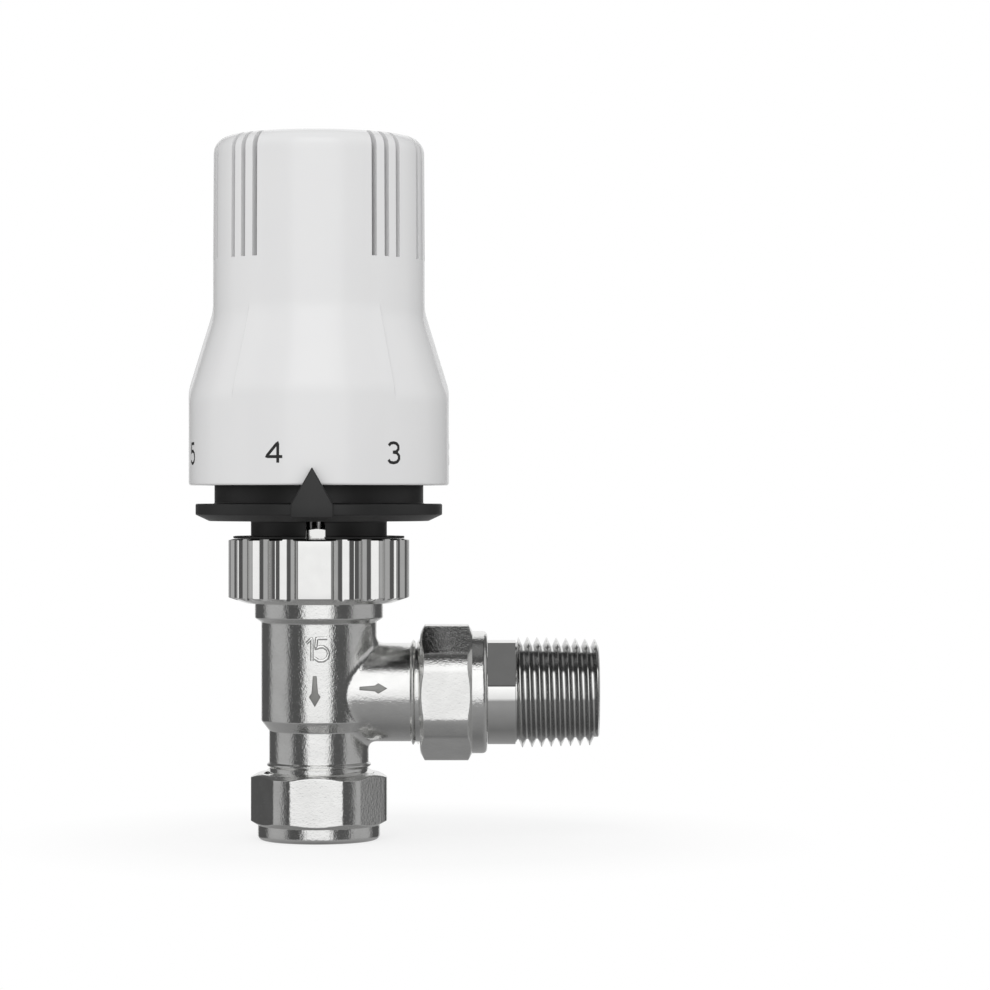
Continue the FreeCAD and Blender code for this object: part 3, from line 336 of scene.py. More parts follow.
def turnedMesh(profile, columns, rule=None):
    # turns a closed outline about Z; rule(angle, r, z) may pull a point inwards
    angles = [2 * math.pi * k / columns for k in range(columns)]
    points = []
    for angle in angles:
        c, s = math.cos(angle), math.sin(angle)
        for r, z in profile:
            if rule:
                r = rule(angle, r, z)
            points.append((r * c * mm, r * s * mm, z * mm))
    n = len(profile)
    faces = []
    for j in range(len(angles)):
        following = (j + 1) % len(angles)
        for i in range(n):
            k = (i + 1) % n
            if profile[i][0] == 0 and profile[k][0] == 0:
                continue
            faces.append((j * n + i, following * n + i, following * n + k, j * n + k))
    return points, faces


def mended(mesh, gap, outwards=True):
    # merges the points that meet and turns the faces outwards
    work = bmesh.new()
    work.from_mesh(mesh)
    bmesh.ops.remove_doubles(work, verts=work.verts, dist=gap)
    if outwards:
        bmesh.ops.recalc_face_normals(work, faces=work.faces)
    work.to_mesh(mesh)
    work.free()
    return mesh


def plainMesh(points, faces, place=None):
    mesh = bpy.data.meshes.new("form")
    mesh.from_pydata(points, [], faces)
    mended(mesh, 1e-7)
    if place is not None:
        mesh.transform(place)
    return mesh


def newPiece(name, points, faces, material, body, stands=(), sharp=35.0, place=None):
    mesh = plainMesh(points, faces, place)
    mesh.name = name
    return finishedPiece(name, mesh, material, body, stands, sharp)


def finishedPiece(name, mesh, material, body, stands=(), sharp=35.0):
    mesh.materials.clear()
    mesh.materials.append(material)
    mesh.shade_smooth()
    mesh.set_sharp_from_angle(angle=math.radians(sharp))
    piece = bpy.data.objects.new(name, mesh)
    bpy.context.scene.collection.objects.link(piece)
    if body is not None:
        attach(piece, body)
    if stands:
        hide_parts(*stands)
    return piece


def softMin(a, b, width):
    share = max(0.0, min(1.0, 0.5 + 0.5 * (b - a) / width))
    return b * (1 - share) + a * share - width * share * (1 - share)


def hexRule(flats, width, low):
    # keeps a turned blank, from low upwards, inside a hexagon whose flats face along Y
    def rule(angle, r, z):
        if z < low:
            return r
        off = (math.degrees(angle) - 30.0) % 60.0
        off = min(off, 60.0 - off)
        return softMin(r, flats / 2 / math.cos(math.radians(off)), width)
    return rule


def alongX(x, z, back=False):
    turn = Matrix.Rotation(math.radians(-90 if back else 90), 4, "Y")
    return Matrix.Translation((x * mm, 0, z * mm)) @ turn


branchHeight = 27.8
tailNutFace = 31.84


def compressionNut(name, place=None):
    # collar, hexagon with turned corners, and the thread's mouth
    nut = {"hole": 7.55, "collar": 11.55, "height": 12.6, "flats": 23.9, "corner": 12.88,
           "cornerLow": 3.6, "cornerHigh": 11.82, "bore": 10.4, "shoulder": 6.3, "edge": 0.9,
           "cone": 9.25, "coneLow": 2.9, "pace": 0.25, "columns": 300, "cornerSoft": 0.22}
    slope = math.tan(math.radians(30))
    low = nut["cornerLow"] - (nut["corner"] - nut["collar"]) * slope
    top = nut["corner"] - (nut["height"] - nut["cornerHigh"]) / slope
    outline = rounded([
        (nut["hole"], 0.0, 0.25), (nut["collar"], 0.0, nut["edge"]), (nut["collar"], low, 0.12),
        (nut["corner"], nut["cornerLow"], 0.15), (nut["corner"], nut["cornerHigh"], 0.15),
        (top, nut["height"], 0.12), (nut["bore"], nut["height"], 0.2), (nut["bore"], nut["shoulder"]),
        (nut["cone"], nut["shoulder"]), (nut["hole"], nut["coneLow"])])
    hexagon = hexRule(nut["flats"], nut["cornerSoft"], low - 0.01)
    points, faces = turnedMesh(divided(outline, nut["pace"]), nut["columns"], hexagon)
    newPiece(name + "_hex", points, faces, nutMetal, "root", [name], 40, place)


def threadTree():
    # Geometry Nodes: a ridge wound round a cylinder or a cone
    tree = bpy.data.node_groups.new("threadRidge", "GeometryNodeTree")
    face = tree.interface
    face.new_socket("Geometry", in_out="OUTPUT", socket_type="NodeSocketGeometry")
    wanted = (("StartRadius", 0.01), ("EndRadius", 0.01), ("Height", 0.01), ("Turns", 5.0),
              ("Depth", 0.001), ("Width", 0.002), ("Crest", 0.0003))
    for name, start in wanted:
        socket = face.new_socket(name, in_out="INPUT", socket_type="NodeSocketFloat")
        socket.default_value = start
    face.new_socket("Material", in_out="INPUT", socket_type="NodeSocketMaterial")
    nodes, links = tree.nodes, tree.links
    given = nodes.new("NodeGroupInput")
    spiral = nodes.new("GeometryNodeCurveSpiral")
    spiral.inputs["Resolution"].default_value = 120
    # the node winds to the left, and pipe threads are right-handed
    spiral.inputs["Reverse"].default_value = True
    for socket, name in (("Start Radius", "StartRadius"), ("End Radius", "EndRadius"), ("Height", "Height"),
                         ("Rotations", "Turns")):
        links.new(given.outputs[name], spiral.inputs[socket])
    normal = nodes.new("GeometryNodeSetCurveNormal")
    normal.mode = "Z_UP"
    links.new(spiral.outputs[0], normal.inputs["Curve"])
    # the ridge's section: a four-sided curve, root outwards to crest
    section = nodes.new("GeometryNodeCurvePrimitiveQuadrilateral")
    section.mode = "POINTS"
    corners = (("Point 1", -0.14, -0.5, "Width"), ("Point 2", 1.0, -0.5, "Crest"),
               ("Point 3", 1.0, 0.5, "Crest"), ("Point 4", -0.14, 0.5, "Width"))
    for socket, out, side, span in corners:
        spot = nodes.new("ShaderNodeCombineXYZ")
        reach = nodes.new("ShaderNodeMath")
        reach.operation = "MULTIPLY"
        reach.inputs[1].default_value = side
        links.new(given.outputs[span], reach.inputs[0])
        depth = nodes.new("ShaderNodeMath")
        depth.operation = "MULTIPLY"
        depth.inputs[1].default_value = out
        links.new(given.outputs["Depth"], depth.inputs[0])
        links.new(depth.outputs[0], spot.inputs["X"])
        links.new(reach.outputs[0], spot.inputs["Y"])
        links.new(spot.outputs[0], section.inputs[socket])
    sweep = nodes.new("GeometryNodeCurveToMesh")
    sweep.inputs["Fill Caps"].default_value = True
    links.new(normal.outputs[0], sweep.inputs["Curve"])
    links.new(section.outputs[0], sweep.inputs["Profile Curve"])
    real = nodes.new("GeometryNodeRealizeInstances")
    links.new(sweep.outputs[0], real.inputs[0])
    paintNode = nodes.new("GeometryNodeSetMaterial")
    links.new(real.outputs[0], paintNode.inputs["Geometry"])
    links.new(given.outputs["Material"], paintNode.inputs["Material"])
    result = nodes.new("NodeGroupOutput")
    links.new(paintNode.outputs[0], result.inputs[0])
    return tree


def grownMesh(tree, values, name):
    # runs a Geometry Nodes tree once and returns its plain mesh
    holder = bpy.data.objects.new(name + "Seed", bpy.data.meshes.new(name + "Seed"))
    bpy.context.scene.collection.objects.link(holder)
    modifier = holder.modifiers.new("grow", "NODES")
    modifier.node_group = tree
    for item in tree.interface.items_tree:
        if item.item_type == "SOCKET" and item.in_out == "INPUT" and item.name in values:
            modifier[item.identifier] = values[item.name]
    graph = bpy.context.evaluated_depsgraph_get()
    mesh = bpy.data.meshes.new_from_object(holder.evaluated_get(graph))
    mesh.name = name
    bpy.data.objects.remove(holder)
    return mended(mesh, 1e-8)


threadNodes = threadTree()


def threadPiece(name, spec, place, low, finish=brightMetal):
    # spec: radii at the root, length, pitch, depth, widths; both ends are faced off and chamfered
    mesh = grownMesh(threadNodes, {
        "StartRadius": spec["start"] * mm, "EndRadius": spec["end"] * mm, "Height": spec["length"] * mm,
        "Turns": spec["length"] / spec["pitch"], "Depth": spec["depth"] * mm,
        "Width": spec["pitch"] * 0.97 * mm, "Crest": spec["crest"] * mm, "Material": finish}, name)
    turn = Matrix.Rotation(math.radians(spec["turn"]), 4, "Z")
    mesh.transform(Matrix.Translation((0, 0, low * mm)) @ turn)
    under, over = spec["depth"] * 0.3, 0.1
    faced = spec["faced"]
    outline = [
        (spec["start"] - under, low), (spec["start"] + over, low),
        (spec["start"] + spec["depth"] + over, low + faced),
        (spec["end"] + spec["depth"] + over, low + spec["length"] - faced),
        (spec["end"] + over, low + spec["length"]), (spec["end"] - under, low + spec["length"])]
    blank = plainMesh(*turnedMesh(outline, 120))
    mesh = carved(mesh, [("INTERSECT", blank)])
    mesh.transform(place)
    finishedPiece(name, mesh, finish, "root", (), 30)


def boxMesh(low, high):
    work = bmesh.new()
    bmesh.ops.create_cube(work, size=1.0)
    for vert in work.verts:
        vert.co = Vector([low[i] + (vert.co[i] + 0.5) * (high[i] - low[i]) for i in range(3)]) * mm
    mesh = bpy.data.meshes.new("cutter")
    work.to_mesh(mesh)
    work.free()
    return mesh


def carved(base, steps, extra=None):
    # joins or cuts the other forms one after another, then runs any extra modifiers
    scene = bpy.context.scene.collection.objects
    holder = bpy.data.objects.new("carving", base)
    scene.link(holder)
    tools = []
    for operation, mesh in steps:
        tool = bpy.data.objects.new("tool", mesh)
        scene.link(tool)
        tools.append(tool)
        modifier = holder.modifiers.new("carve", "BOOLEAN")
        modifier.operation = operation
        modifier.solver = "EXACT"
        modifier.object = tool
    for kind, settings in extra or []:
        modifier = holder.modifiers.new(kind.lower(), kind)
        for key, setting in settings.items():
            setattr(modifier, key, setting)
    graph = bpy.context.evaluated_depsgraph_get()
    made = bpy.data.meshes.new_from_object(holder.evaluated_get(graph))
    for thing in tools + [holder]:
        bpy.data.objects.remove(thing)
    return mended(made, 2e-6, False)


def flowTogether(mesh, cast):
    # moves the points near the root between barrel and branch onto one rounded surface; the fillet is
    # wide above and below the branch and almost a crease in front, where both surfaces face one way
    def depth(x, y, z):
        rise = (z - cast["neckTop"]) / (cast["barrelLow"] - cast["neckTop"])
        radius = cast["neck"] + (cast["barrel"] - cast["neck"]) * max(0.0, min(1.0, rise))
        toBarrel, toBranch = math.hypot(x, y), math.hypot(y, z - branchHeight)
        width = cast["crease"] + cast["fillet"] * (1 - y * y / max(toBarrel * toBranch, 1e-6))
        first, second = toBarrel - radius, toBranch - cast["branch"]
        near = max(width - abs(first - second), 0.0)
        return min(first, second) - near * near / (4 * width), max(abs(first), abs(second)) / width

    def settle(vert):
        for _ in range(4):
            x, y, z = vert.co / mm
            value = depth(x, y, z)[0]
            step = 0.01
            slope = Vector((depth(x + step, y, z)[0] - value, depth(x, y + step, z)[0] - value,
                            depth(x, y, z + step)[0] - value)) / step
            vert.co -= slope * (value / max(slope.length_squared, 0.05)) * mm

    work = bmesh.new()
    work.from_mesh(mesh)
    bmesh.ops.triangulate(work, faces=work.faces)
    zone = []
    for vert in work.verts:
        x, y, z = vert.co / mm
        if x > 2.0 and math.hypot(x, y) > cast["neck"] - 0.1 and math.hypot(y, z - branchHeight) > 9.2:
            if depth(x, y, z)[1] < 1.25 and cast["neckLow"] < z < cast["barrelTop"] - 0.5:
                zone.append(vert)
    for _ in range(6):
        bmesh.ops.smooth_vert(work, verts=zone, factor=0.5,
                              use_axis_x=True, use_axis_y=True, use_axis_z=True)
        for vert in zone:
            settle(vert)
    work.to_mesh(mesh)
    work.free()


def valveBody():
    # the casting: barrel and branch flow into each other, with both mouths open
    cast = {"mouth": 6.9, "thread": 9.35, "shoulder": 14.7, "neck": 9.42, "neckLow": 17.0, "neckTop": 20.6,
            "barrel": 10.9, "barrelLow": 22.5, "barrelTop": 41.1, "collar": 12.12, "collarLow": 41.9,
            "collarHigh": 44.7, "crown": 14.95, "crownLow": 46.4, "top": 52.4, "branch": 9.3,
            "branchShoulder": 17.4, "bead": 9.84, "crease": 0.2, "fillet": 1.35}
    inside = {"below": 5.0, "mouth": 8.9, "pipe": 7.55, "pipeLow": 9.9, "step": 19.0, "port": 5.6,
              "seatTop": 23.2, "seat": 6.6, "floor": 22.4, "chamber": 8.2, "chamberTop": 36.6,
              "insert": 9.0, "insertTop": 46.0, "head": 10.7, "above": 53.0,
              "waterway": 4.5, "tailStop": 15.84, "cone": 3.0, "beyond": 2.0}
    reach = tailNutFace - cast["mouth"]
    barrel = turnedMesh(divided(rounded([
        (0.0, cast["mouth"]), (cast["thread"], cast["mouth"]),
        (cast["thread"], cast["shoulder"] - 1.1, 0.1),
        (cast["bead"], cast["shoulder"] - 0.65, 0.12), (cast["bead"], cast["shoulder"] - 0.4, 0.12),
        (cast["neck"], cast["shoulder"], 0.15), (cast["neck"], cast["neckTop"], 0.4),
        (cast["barrel"], cast["barrelLow"], 0.5), (cast["barrel"], cast["barrelTop"], 0.35),
        (cast["collar"], cast["collarLow"], 0.35), (cast["collar"], cast["collarHigh"], 0.15),
        (cast["crown"], cast["crownLow"], 0.15), (cast["crown"], cast["top"], 0.2),
        (0.0, cast["top"])]), 0.42), 168)
    branch = turnedMesh(divided(rounded([
        (0.0, 0.0), (cast["branch"], 0.0), (cast["branch"], cast["branchShoulder"] + 0.02, 0.1),
        (cast["bead"] + 0.1, cast["branchShoulder"] + 0.35, 0.12),
        (cast["bead"] + 0.1, cast["branchShoulder"] + 0.55, 0.12),
        (cast["thread"], cast["branchShoulder"] + 0.95, 0.1), (cast["thread"], reach),
        (0.0, reach)]), 0.42), 144)
    bore = turnedMesh([
        (0.0, inside["below"]), (inside["mouth"], inside["below"]), (inside["mouth"], cast["mouth"]),
        (inside["pipe"], inside["pipeLow"]), (inside["pipe"], inside["step"]),
        (inside["port"], inside["step"]), (inside["port"], inside["seatTop"]),
        (inside["seat"], inside["seatTop"]), (inside["seat"], inside["floor"]),
        (inside["chamber"], inside["floor"]), (inside["chamber"], inside["chamberTop"]),
        (inside["insert"], inside["chamberTop"]), (inside["insert"], inside["insertTop"]),
        (inside["head"], inside["insertTop"]), (inside["head"], inside["above"]),
        (0.0, inside["above"])], 96)
    outlet = turnedMesh([
        (0.0, 0.0), (inside["waterway"], 0.0), (inside["waterway"], inside["tailStop"]),
        (inside["pipe"], inside["tailStop"]), (inside["pipe"], reach - inside["cone"]),
        (inside["mouth"], reach), (inside["mouth"], reach + inside["beyond"]),
        (0.0, reach + inside["beyond"])], 96)
    side = alongX(0, branchHeight)
    mesh = carved(plainMesh(*barrel), [
        ("UNION", plainMesh(*branch, side)), ("DIFFERENCE", plainMesh(*bore)),
        ("DIFFERENCE", plainMesh(*outlet, side))])
    flowTogether(mesh, cast)
    finishedPiece("valve_body_cast", mesh, castMetal, "root", ["valve_body"], 50)
    # the turns that show between the nuts and the shoulders
    thread = {"start": cast["thread"], "end": cast["thread"], "length": 6.35, "pitch": 1.814,
              "depth": 0.95, "crest": 0.34, "faced": 0.8, "turn": 0.0, "inset": 0.2}
    threadPiece("inlet_thread", thread, Matrix(), cast["mouth"] + thread["inset"])
    threadPiece("outlet_thread", thread, alongX(reach, branchHeight, True), thread["inset"])


def radiatorTail():
    # spigot, neck with two spanner flats, and the taper thread cut into the end
    tail = {"bore": 5.6, "spigot": 7.5, "neckLow": 16.05, "neck": 9.85, "neckHigh": 21.35,
            "threadLow": 21.5, "end": 37.1, "flat": 8.37, "flatTurn": 40.6, "root": 8.93, "taper": 1 / 32,
            "inserted": 16.0}
    rootEnd = tail["root"] - (tail["end"] - tail["threadLow"]) * tail["taper"]
    outline = divided(rounded([
        (tail["bore"], 0.05), (tail["spigot"], 0.05, 0.3), (tail["spigot"], tail["neckLow"]),
        (tail["neck"], tail["neckLow"], 0.15), (tail["neck"], tail["neckHigh"], 0.12),
        (tail["root"] + 0.5, tail["neckHigh"]), (tail["root"] + 0.5, tail["threadLow"]),
        (tail["root"], tail["threadLow"] + 0.3),
        (rootEnd, tail["end"], 0.3), (tail["bore"], tail["end"], 0.4)]), 0.45)
    facing = math.radians(-90.0 - tail["flatTurn"])

    def flats(angle, r, z):
        if not tail["neckLow"] - 0.01 <= z <= tail["neckHigh"] + 0.01 or r < tail["flat"]:
            return r
        across = abs(math.cos(angle - facing))
        return r if across < 0.5 else softMin(r, tail["flat"] / across, 0.12)

    points, faces = turnedMesh(outline, 240, flats)
    place = alongX(tailNutFace - tail["inserted"], branchHeight)
    newPiece("radiator_tail_turned", points, faces, brightMetal, "root", ["radiator_tail"], 35,
             place)
    thread = {"start": tail["root"], "end": rootEnd, "length": tail["end"] - tail["threadLow"] - 0.05,
              "pitch": 1.814, "depth": 1.56, "crest": 0.13, "faced": 0.4, "turn": 123.0}
    threadPiece("radiator_thread_turns", thread, place, tail["threadLow"], threadMetal)


def ringNut():
    # flutes all round but for a plain pad in front and one behind
    ring = {"radius": 17.14, "low": 44.7, "edgeLow": 45.8, "edgeHigh": 56.6, "high": 56.85, "top": 16.1,
            "foot": 13.8, "lipLow": 54.8, "lip": 13.05, "bore": 15.0, "threadLow": 46.1,
            "fluteRadius": 2.73, "fluteDepth": 1.17, "pitch": 18.0}
    centre = ring["radius"] - ring["fluteDepth"] + ring["fluteRadius"]

    def flutes(angle, r, z):
        if r < ring["foot"]:
            return r
        degrees = (math.degrees(angle) + 90.0) % 180.0
        if min(degrees, 180.0 - degrees) < ring["pitch"] / 2:
            return r
        off = math.radians((degrees + ring["pitch"] / 2) % ring["pitch"] - ring["pitch"] / 2)
        inside = ring["fluteRadius"] ** 2 - (centre * math.sin(off)) ** 2
        if inside <= 0:
            return r
        return softMin(r, centre * math.cos(off) - math.sqrt(inside), 0.1)

    outline = divided(rounded([
        (ring["lip"], ring["low"]), (ring["foot"], ring["low"], 0.2),
        (ring["radius"], ring["edgeLow"], 0.15), (ring["radius"], ring["edgeHigh"], 0.1),
        (ring["top"], ring["high"], 0.2), (ring["lip"], ring["high"], 0.2), (ring["lip"], ring["lipLow"]),
        (ring["bore"], ring["lipLow"]), (ring["bore"], ring["threadLow"])]), 1.2)
    points, faces = turnedMesh(outline, 960, flutes)
    newPiece("ring_nut_fluted", points, faces, brightMetal, "root", ["ring_nut"], 40)


def glandNut():
    gland = {"room": 3.9, "low": 48.4, "thread": 6.85, "hexLow": 53.3, "flats": 13.0, "top": 58.75,
             "guide": 2.05, "roof": 56.4}
    corner = gland["flats"] / math.sqrt(3)
    outline = divided(rounded([
        (gland["room"], gland["low"]), (gland["thread"], gland["low"]), (gland["thread"], gland["hexLow"]),
        (corner, gland["hexLow"], 0.2), (corner, gland["top"] - 0.5, 0.1),
        (corner - 0.9, gland["top"], 0.2), (gland["guide"], gland["top"], 0.2),
        (gland["guide"], gland["roof"]), (gland["room"], gland["roof"])]), 0.3)
    points, faces = turnedMesh(outline, 180, hexRule(gland["flats"], 0.15, gland["hexLow"] - 0.01))
    newPiece("gland_nut_bright", points, faces, brightMetal, "root", ["gland_nut"], 40)


def returnSpring():
    # wound wire from its foot on the insert up to the spindle's clip
    spring = {"low": 39.0, "high": 45.5, "radius": 4.4, "wire": 0.34, "turns": 4, "steps": 48, "sides": 12}
    low, high = spring["low"] + spring["wire"], spring["high"] - spring["wire"]
    total = spring["turns"] * spring["steps"]
    sides = spring["sides"]
    points = []
    for k in range(total + 1):
        turn = 2 * math.pi * k / spring["steps"]
        z = low + (high - low) * k / total
        for side in range(sides):
            around = 2 * math.pi * side / sides
            r = spring["radius"] + spring["wire"] * math.cos(around)
            points.append((r * math.cos(turn) * mm, r * math.sin(turn) * mm,
                           (z + spring["wire"] * math.sin(around)) * mm))
    faces = [(k * sides + i, k * sides + (i + 1) % sides,
              (k + 1) * sides + (i + 1) % sides, (k + 1) * sides + i)
             for k in range(total) for i in range(sides)]
    faces += [tuple(range(sides)), tuple(total * sides + i for i in range(sides))]
    piece = newPiece("return_spring_wire", points, faces, steel, None, ["return_spring"], 60)
    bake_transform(piece)


def prism(outline, y0, y1):
    # a flat outline in X and Z, given depth along Y
    n = len(outline)
    points = [(x * mm, y * mm, z * mm) for y in (y0, y1) for x, z in outline]
    faces = [tuple(range(n)), tuple(range(2 * n - 1, n - 1, -1))]
    faces += [(i, i + n, (i + 1) % n + n, (i + 1) % n) for i in range(n)]
    return points, faces


def headBase():
    # black moulding: clamped foot, slotted neck, flange, sleeve, guide tube, pointer and stop lug
    base = {"bore": 10.4, "foot": 14.6, "footLow": 52.45, "footHigh": 54.75, "neck": 12.9, "collar": 16.2,
            "collarLow": 56.95, "collarHigh": 57.35, "flangeLow": 60.2, "flangeInner": 20.75,
            "flangeEdge": 61.4, "flange": 23.3, "flangeHigh": 63.46, "sleeve": 19.73, "sleeveHigh": 68.9,
            "guide": 17.2, "guideBore": 15.4, "guideHigh": 92.0, "rodHole": 4.6,
            "slot": 3.6, "slotFrom": 8, "slotTo": 18,
            "keyFrom": 14.4, "keyTo": 16.3, "keyHalf": 1.6, "keyLow": 72.0,
            "lugFrom": 17.9, "lugTo": 19.4, "lugHalf": 2.0, "lugHigh": 72.6}
    pointer = {"half": 3.9, "arm": 3.75, "root": 22.0, "back": 24.95, "front": 26.05, "low": 60.9,
               "shoulder": 63.3, "tip": 70.2, "inset": 0.15, "edge": 0.22}
    outline = rounded([
        (base["bore"], base["footLow"]), (base["foot"], base["footLow"]), (base["foot"], base["footHigh"]),
        (base["neck"], base["footHigh"]), (base["neck"], base["collarLow"]),
        (base["collar"], base["collarLow"], 0.1), (base["collar"], base["collarHigh"], 0.1),
        (base["neck"], base["collarHigh"], 0.1),
        (base["neck"], base["flangeLow"], 0.3), (base["flangeInner"], base["flangeLow"], 0.25),
        (base["flange"], base["flangeEdge"], 0.25), (base["flange"], base["flangeHigh"], 0.3),
        (base["sleeve"], base["flangeHigh"], 0.3), (base["sleeve"], base["sleeveHigh"], 0.3),
        (base["guide"], base["sleeveHigh"]), (base["guide"], base["guideHigh"], 0.3),
        (base["guideBore"], base["guideHigh"]), (base["guideBore"], base["flangeHigh"]),
        (base["rodHole"], base["flangeHigh"]), (base["rodHole"], base["flangeLow"]),
        (base["bore"], base["flangeLow"])], 5)
    half, near, far = base["slot"] / 2, base["slotFrom"], base["slotTo"]
    cuts = []
    for low, high in (((-half, -far), (half, -near)), ((-half, near), (half, far)),
                      ((-far, -half), (-near, half)), ((near, -half), (far, half))):
        cuts.append(("DIFFERENCE", boxMesh((*low, base["footLow"] - 1), (*high, base["flangeLow"]))))
    for side in (-1, 1):
        span = sorted((side * base["keyFrom"], side * base["keyTo"]))
        cuts.append(("DIFFERENCE", boxMesh((span[0], -base["keyHalf"], base["keyLow"]),
                                           (span[1], base["keyHalf"], base["guideHigh"] + 1))))
    cuts.append(("UNION", boxMesh((-base["lugHalf"], base["lugFrom"], base["sleeveHigh"] - 1),
                                  (base["lugHalf"], base["lugTo"], base["lugHigh"]))))
    armLow, armHigh = pointer["low"] + pointer["inset"], pointer["shoulder"] - pointer["inset"]
    arm = prism([(-pointer["arm"], armLow), (pointer["arm"], armLow), (pointer["arm"], armHigh),
                 (-pointer["arm"], armHigh)], -pointer["root"], -pointer["back"] - 0.5)
    plate = prism([(-pointer["half"], pointer["low"]), (pointer["half"], pointer["low"]),
                   (pointer["half"], pointer["shoulder"]), (0.0, pointer["tip"]),
                   (-pointer["half"], pointer["shoulder"])], -pointer["back"], -pointer["front"])
    rim = [("BEVEL", {"width": pointer["edge"] * mm, "segments": 3, "limit_method": "ANGLE"})]
    cuts.append(("UNION", carved(plainMesh(*arm), [], rim)))
    cuts.append(("UNION", carved(plainMesh(*plate), [], rim)))
    mesh = carved(plainMesh(*turnedMesh(outline, 240)), cuts)
    finishedPiece("head_base_moulding", mesh, black, "root", ["head_base"], 30)


def columnAngles(cap):
    # one column at each side of every slot, and close ones at the pads' edges
    half = math.degrees(math.asin(cap["slotWidth"] / 2 / cap["grip"]))
    centres = [pad + side * (cap["groupTurn"] + step * cap["slotPitch"])
               for pad in (0, 120, 240) for side in (-1, 1) for step in (-1, 0, 1)]
    slots = [((centre - 90 - half) % 360, (centre - 90 + half) % 360) for centre in centres]
    found = {k * 1.5 for k in range(240)}
    for pad in (0, 120, 240):
        for side in (-1, 1):
            edge = -90 + pad + side * cap["padAngle"] / 2
            found |= {round(edge + k * 0.2, 3) % 360 for k in range(-4, 5)}
    for low, high in slots:
        found = {a for a in found if min(abs(a - low), abs(a - high)) > 0.45}
    for low, high in slots:
        found |= {low, high, (low - 0.4) % 360, (high + 0.4) % 360}
    return sorted(found), slots


def inSlot(degree, slots):
    return any((degree - low) % 360 < (high - low) % 360 for low, high in slots)


def padShare(cap, degree):
    # 1 on a raised pad, 0 between pads, with a short soft edge
    off = (degree + 90) % 120
    off = min(off, 120 - off)
    share = max(0.0, min(1.0, (cap["padAngle"] / 2 - off) / cap["padSoft"] + 0.5))
    return share * share * (3 - 2 * share)


def flareRadius(cap, z, proud):
    # the plain flare lies lower than the pads by the recess, and both its ends are eased
    slope = (cap["radius"] - cap["grip"]) / (cap["flareHigh"] - cap["flareLow"])
    straight = cap["radius"] - (z + cap["recess"] * (1 - proud) - cap["flareLow"]) * slope
    eased = softMin(straight, cap["radius"], cap["ease"])
    return -softMin(-eased, -cap["grip"], cap["ease"])


def handleCap():
    # white shell: skirt, flare with three raised pads, grip with six groups of open slots
    cap = {"radius": 24.58, "low": 66.93, "wall": 2.08, "flareLow": 84.9, "flareHigh": 99.85,
           "recess": 1.35, "ease": 0.35, "grip": 20.0, "gripTop": 19.87, "high": 132.67, "round": 3.2,
           "roof": 130.4, "padAngle": 75.0, "padSoft": 0.7, "slotWidth": 1.1, "slotLow": 109.3,
           "slotInner": 16.4, "slotPitch": 8.2, "groupTurn": 41.8}
    inner = cap["radius"] - cap["wall"]
    innerGrip = cap["grip"] - cap["wall"]
    corners = [
        (inner, cap["low"], 0.3), (cap["radius"], cap["low"], 0.45), (cap["radius"], cap["flareLow"]),
        (cap["grip"], cap["flareHigh"]), (cap["grip"], cap["slotLow"]),
        (cap["gripTop"], cap["high"], cap["round"]), (cap["slotInner"], cap["high"]), (0.0, cap["high"]),
        (0.0, cap["roof"]), (cap["slotInner"], cap["roof"]), (innerGrip, cap["roof"]),
        (innerGrip, cap["slotLow"]),
        (innerGrip, cap["flareHigh"] - cap["recess"]), (inner, cap["flareLow"] - cap["recess"])]
    profile = divided(rounded(corners, 10), 0.9)
    wallStart = profile.index((cap["grip"], cap["slotLow"]))
    wallEnd = profile.index((cap["slotInner"], cap["high"]))
    roofStart = profile.index((cap["slotInner"], cap["roof"]))
    roofEnd = profile.index((innerGrip, cap["slotLow"]))
    window = list(range(wallStart, wallEnd + 1)) + list(range(roofStart, roofEnd + 1))
    degrees, slots = columnAngles(cap)
    n = len(profile)
    points = []
    for degree in degrees:
        angle = math.radians(degree)
        proud = padShare(cap, degree)
        for i, (r, z) in enumerate(profile):
            if i < wallStart and cap["flareLow"] - 3 < z < cap["flareHigh"] + 2:
                r = flareRadius(cap, z, proud)
            points.append((r * math.cos(angle) * mm, r * math.sin(angle) * mm, z * mm))
    faces = []
    total = len(degrees)
    gaps = [(degrees[(j + 1) % total] - degrees[j]) % 360 for j in range(total)]
    isOpen = [inSlot((degrees[j] + gaps[j] / 2) % 360, slots) for j in range(total)]
    for j in range(total):
        k = (j + 1) % total
        for i in range(n):
            f = (i + 1) % n
            outside = not (wallStart <= i < wallEnd or roofStart <= i < roofEnd)
            if (outside or not isOpen[j]) and (profile[i][0] > 0 or profile[f][0] > 0):
                faces.append((j * n + i, k * n + i, k * n + f, j * n + f))
        if isOpen[j]:
            faces.append((j * n + wallStart, k * n + wallStart, k * n + roofEnd, j * n + roofEnd))
            faces.append((j * n + wallEnd, k * n + wallEnd, k * n + roofStart, j * n + roofStart))
        if isOpen[j] != isOpen[j - 1]:
            faces.append(tuple(j * n + i for i in window))
    newPiece("handle_cap_shell", points, faces, white, "handle", ["handle_cap"], 32)


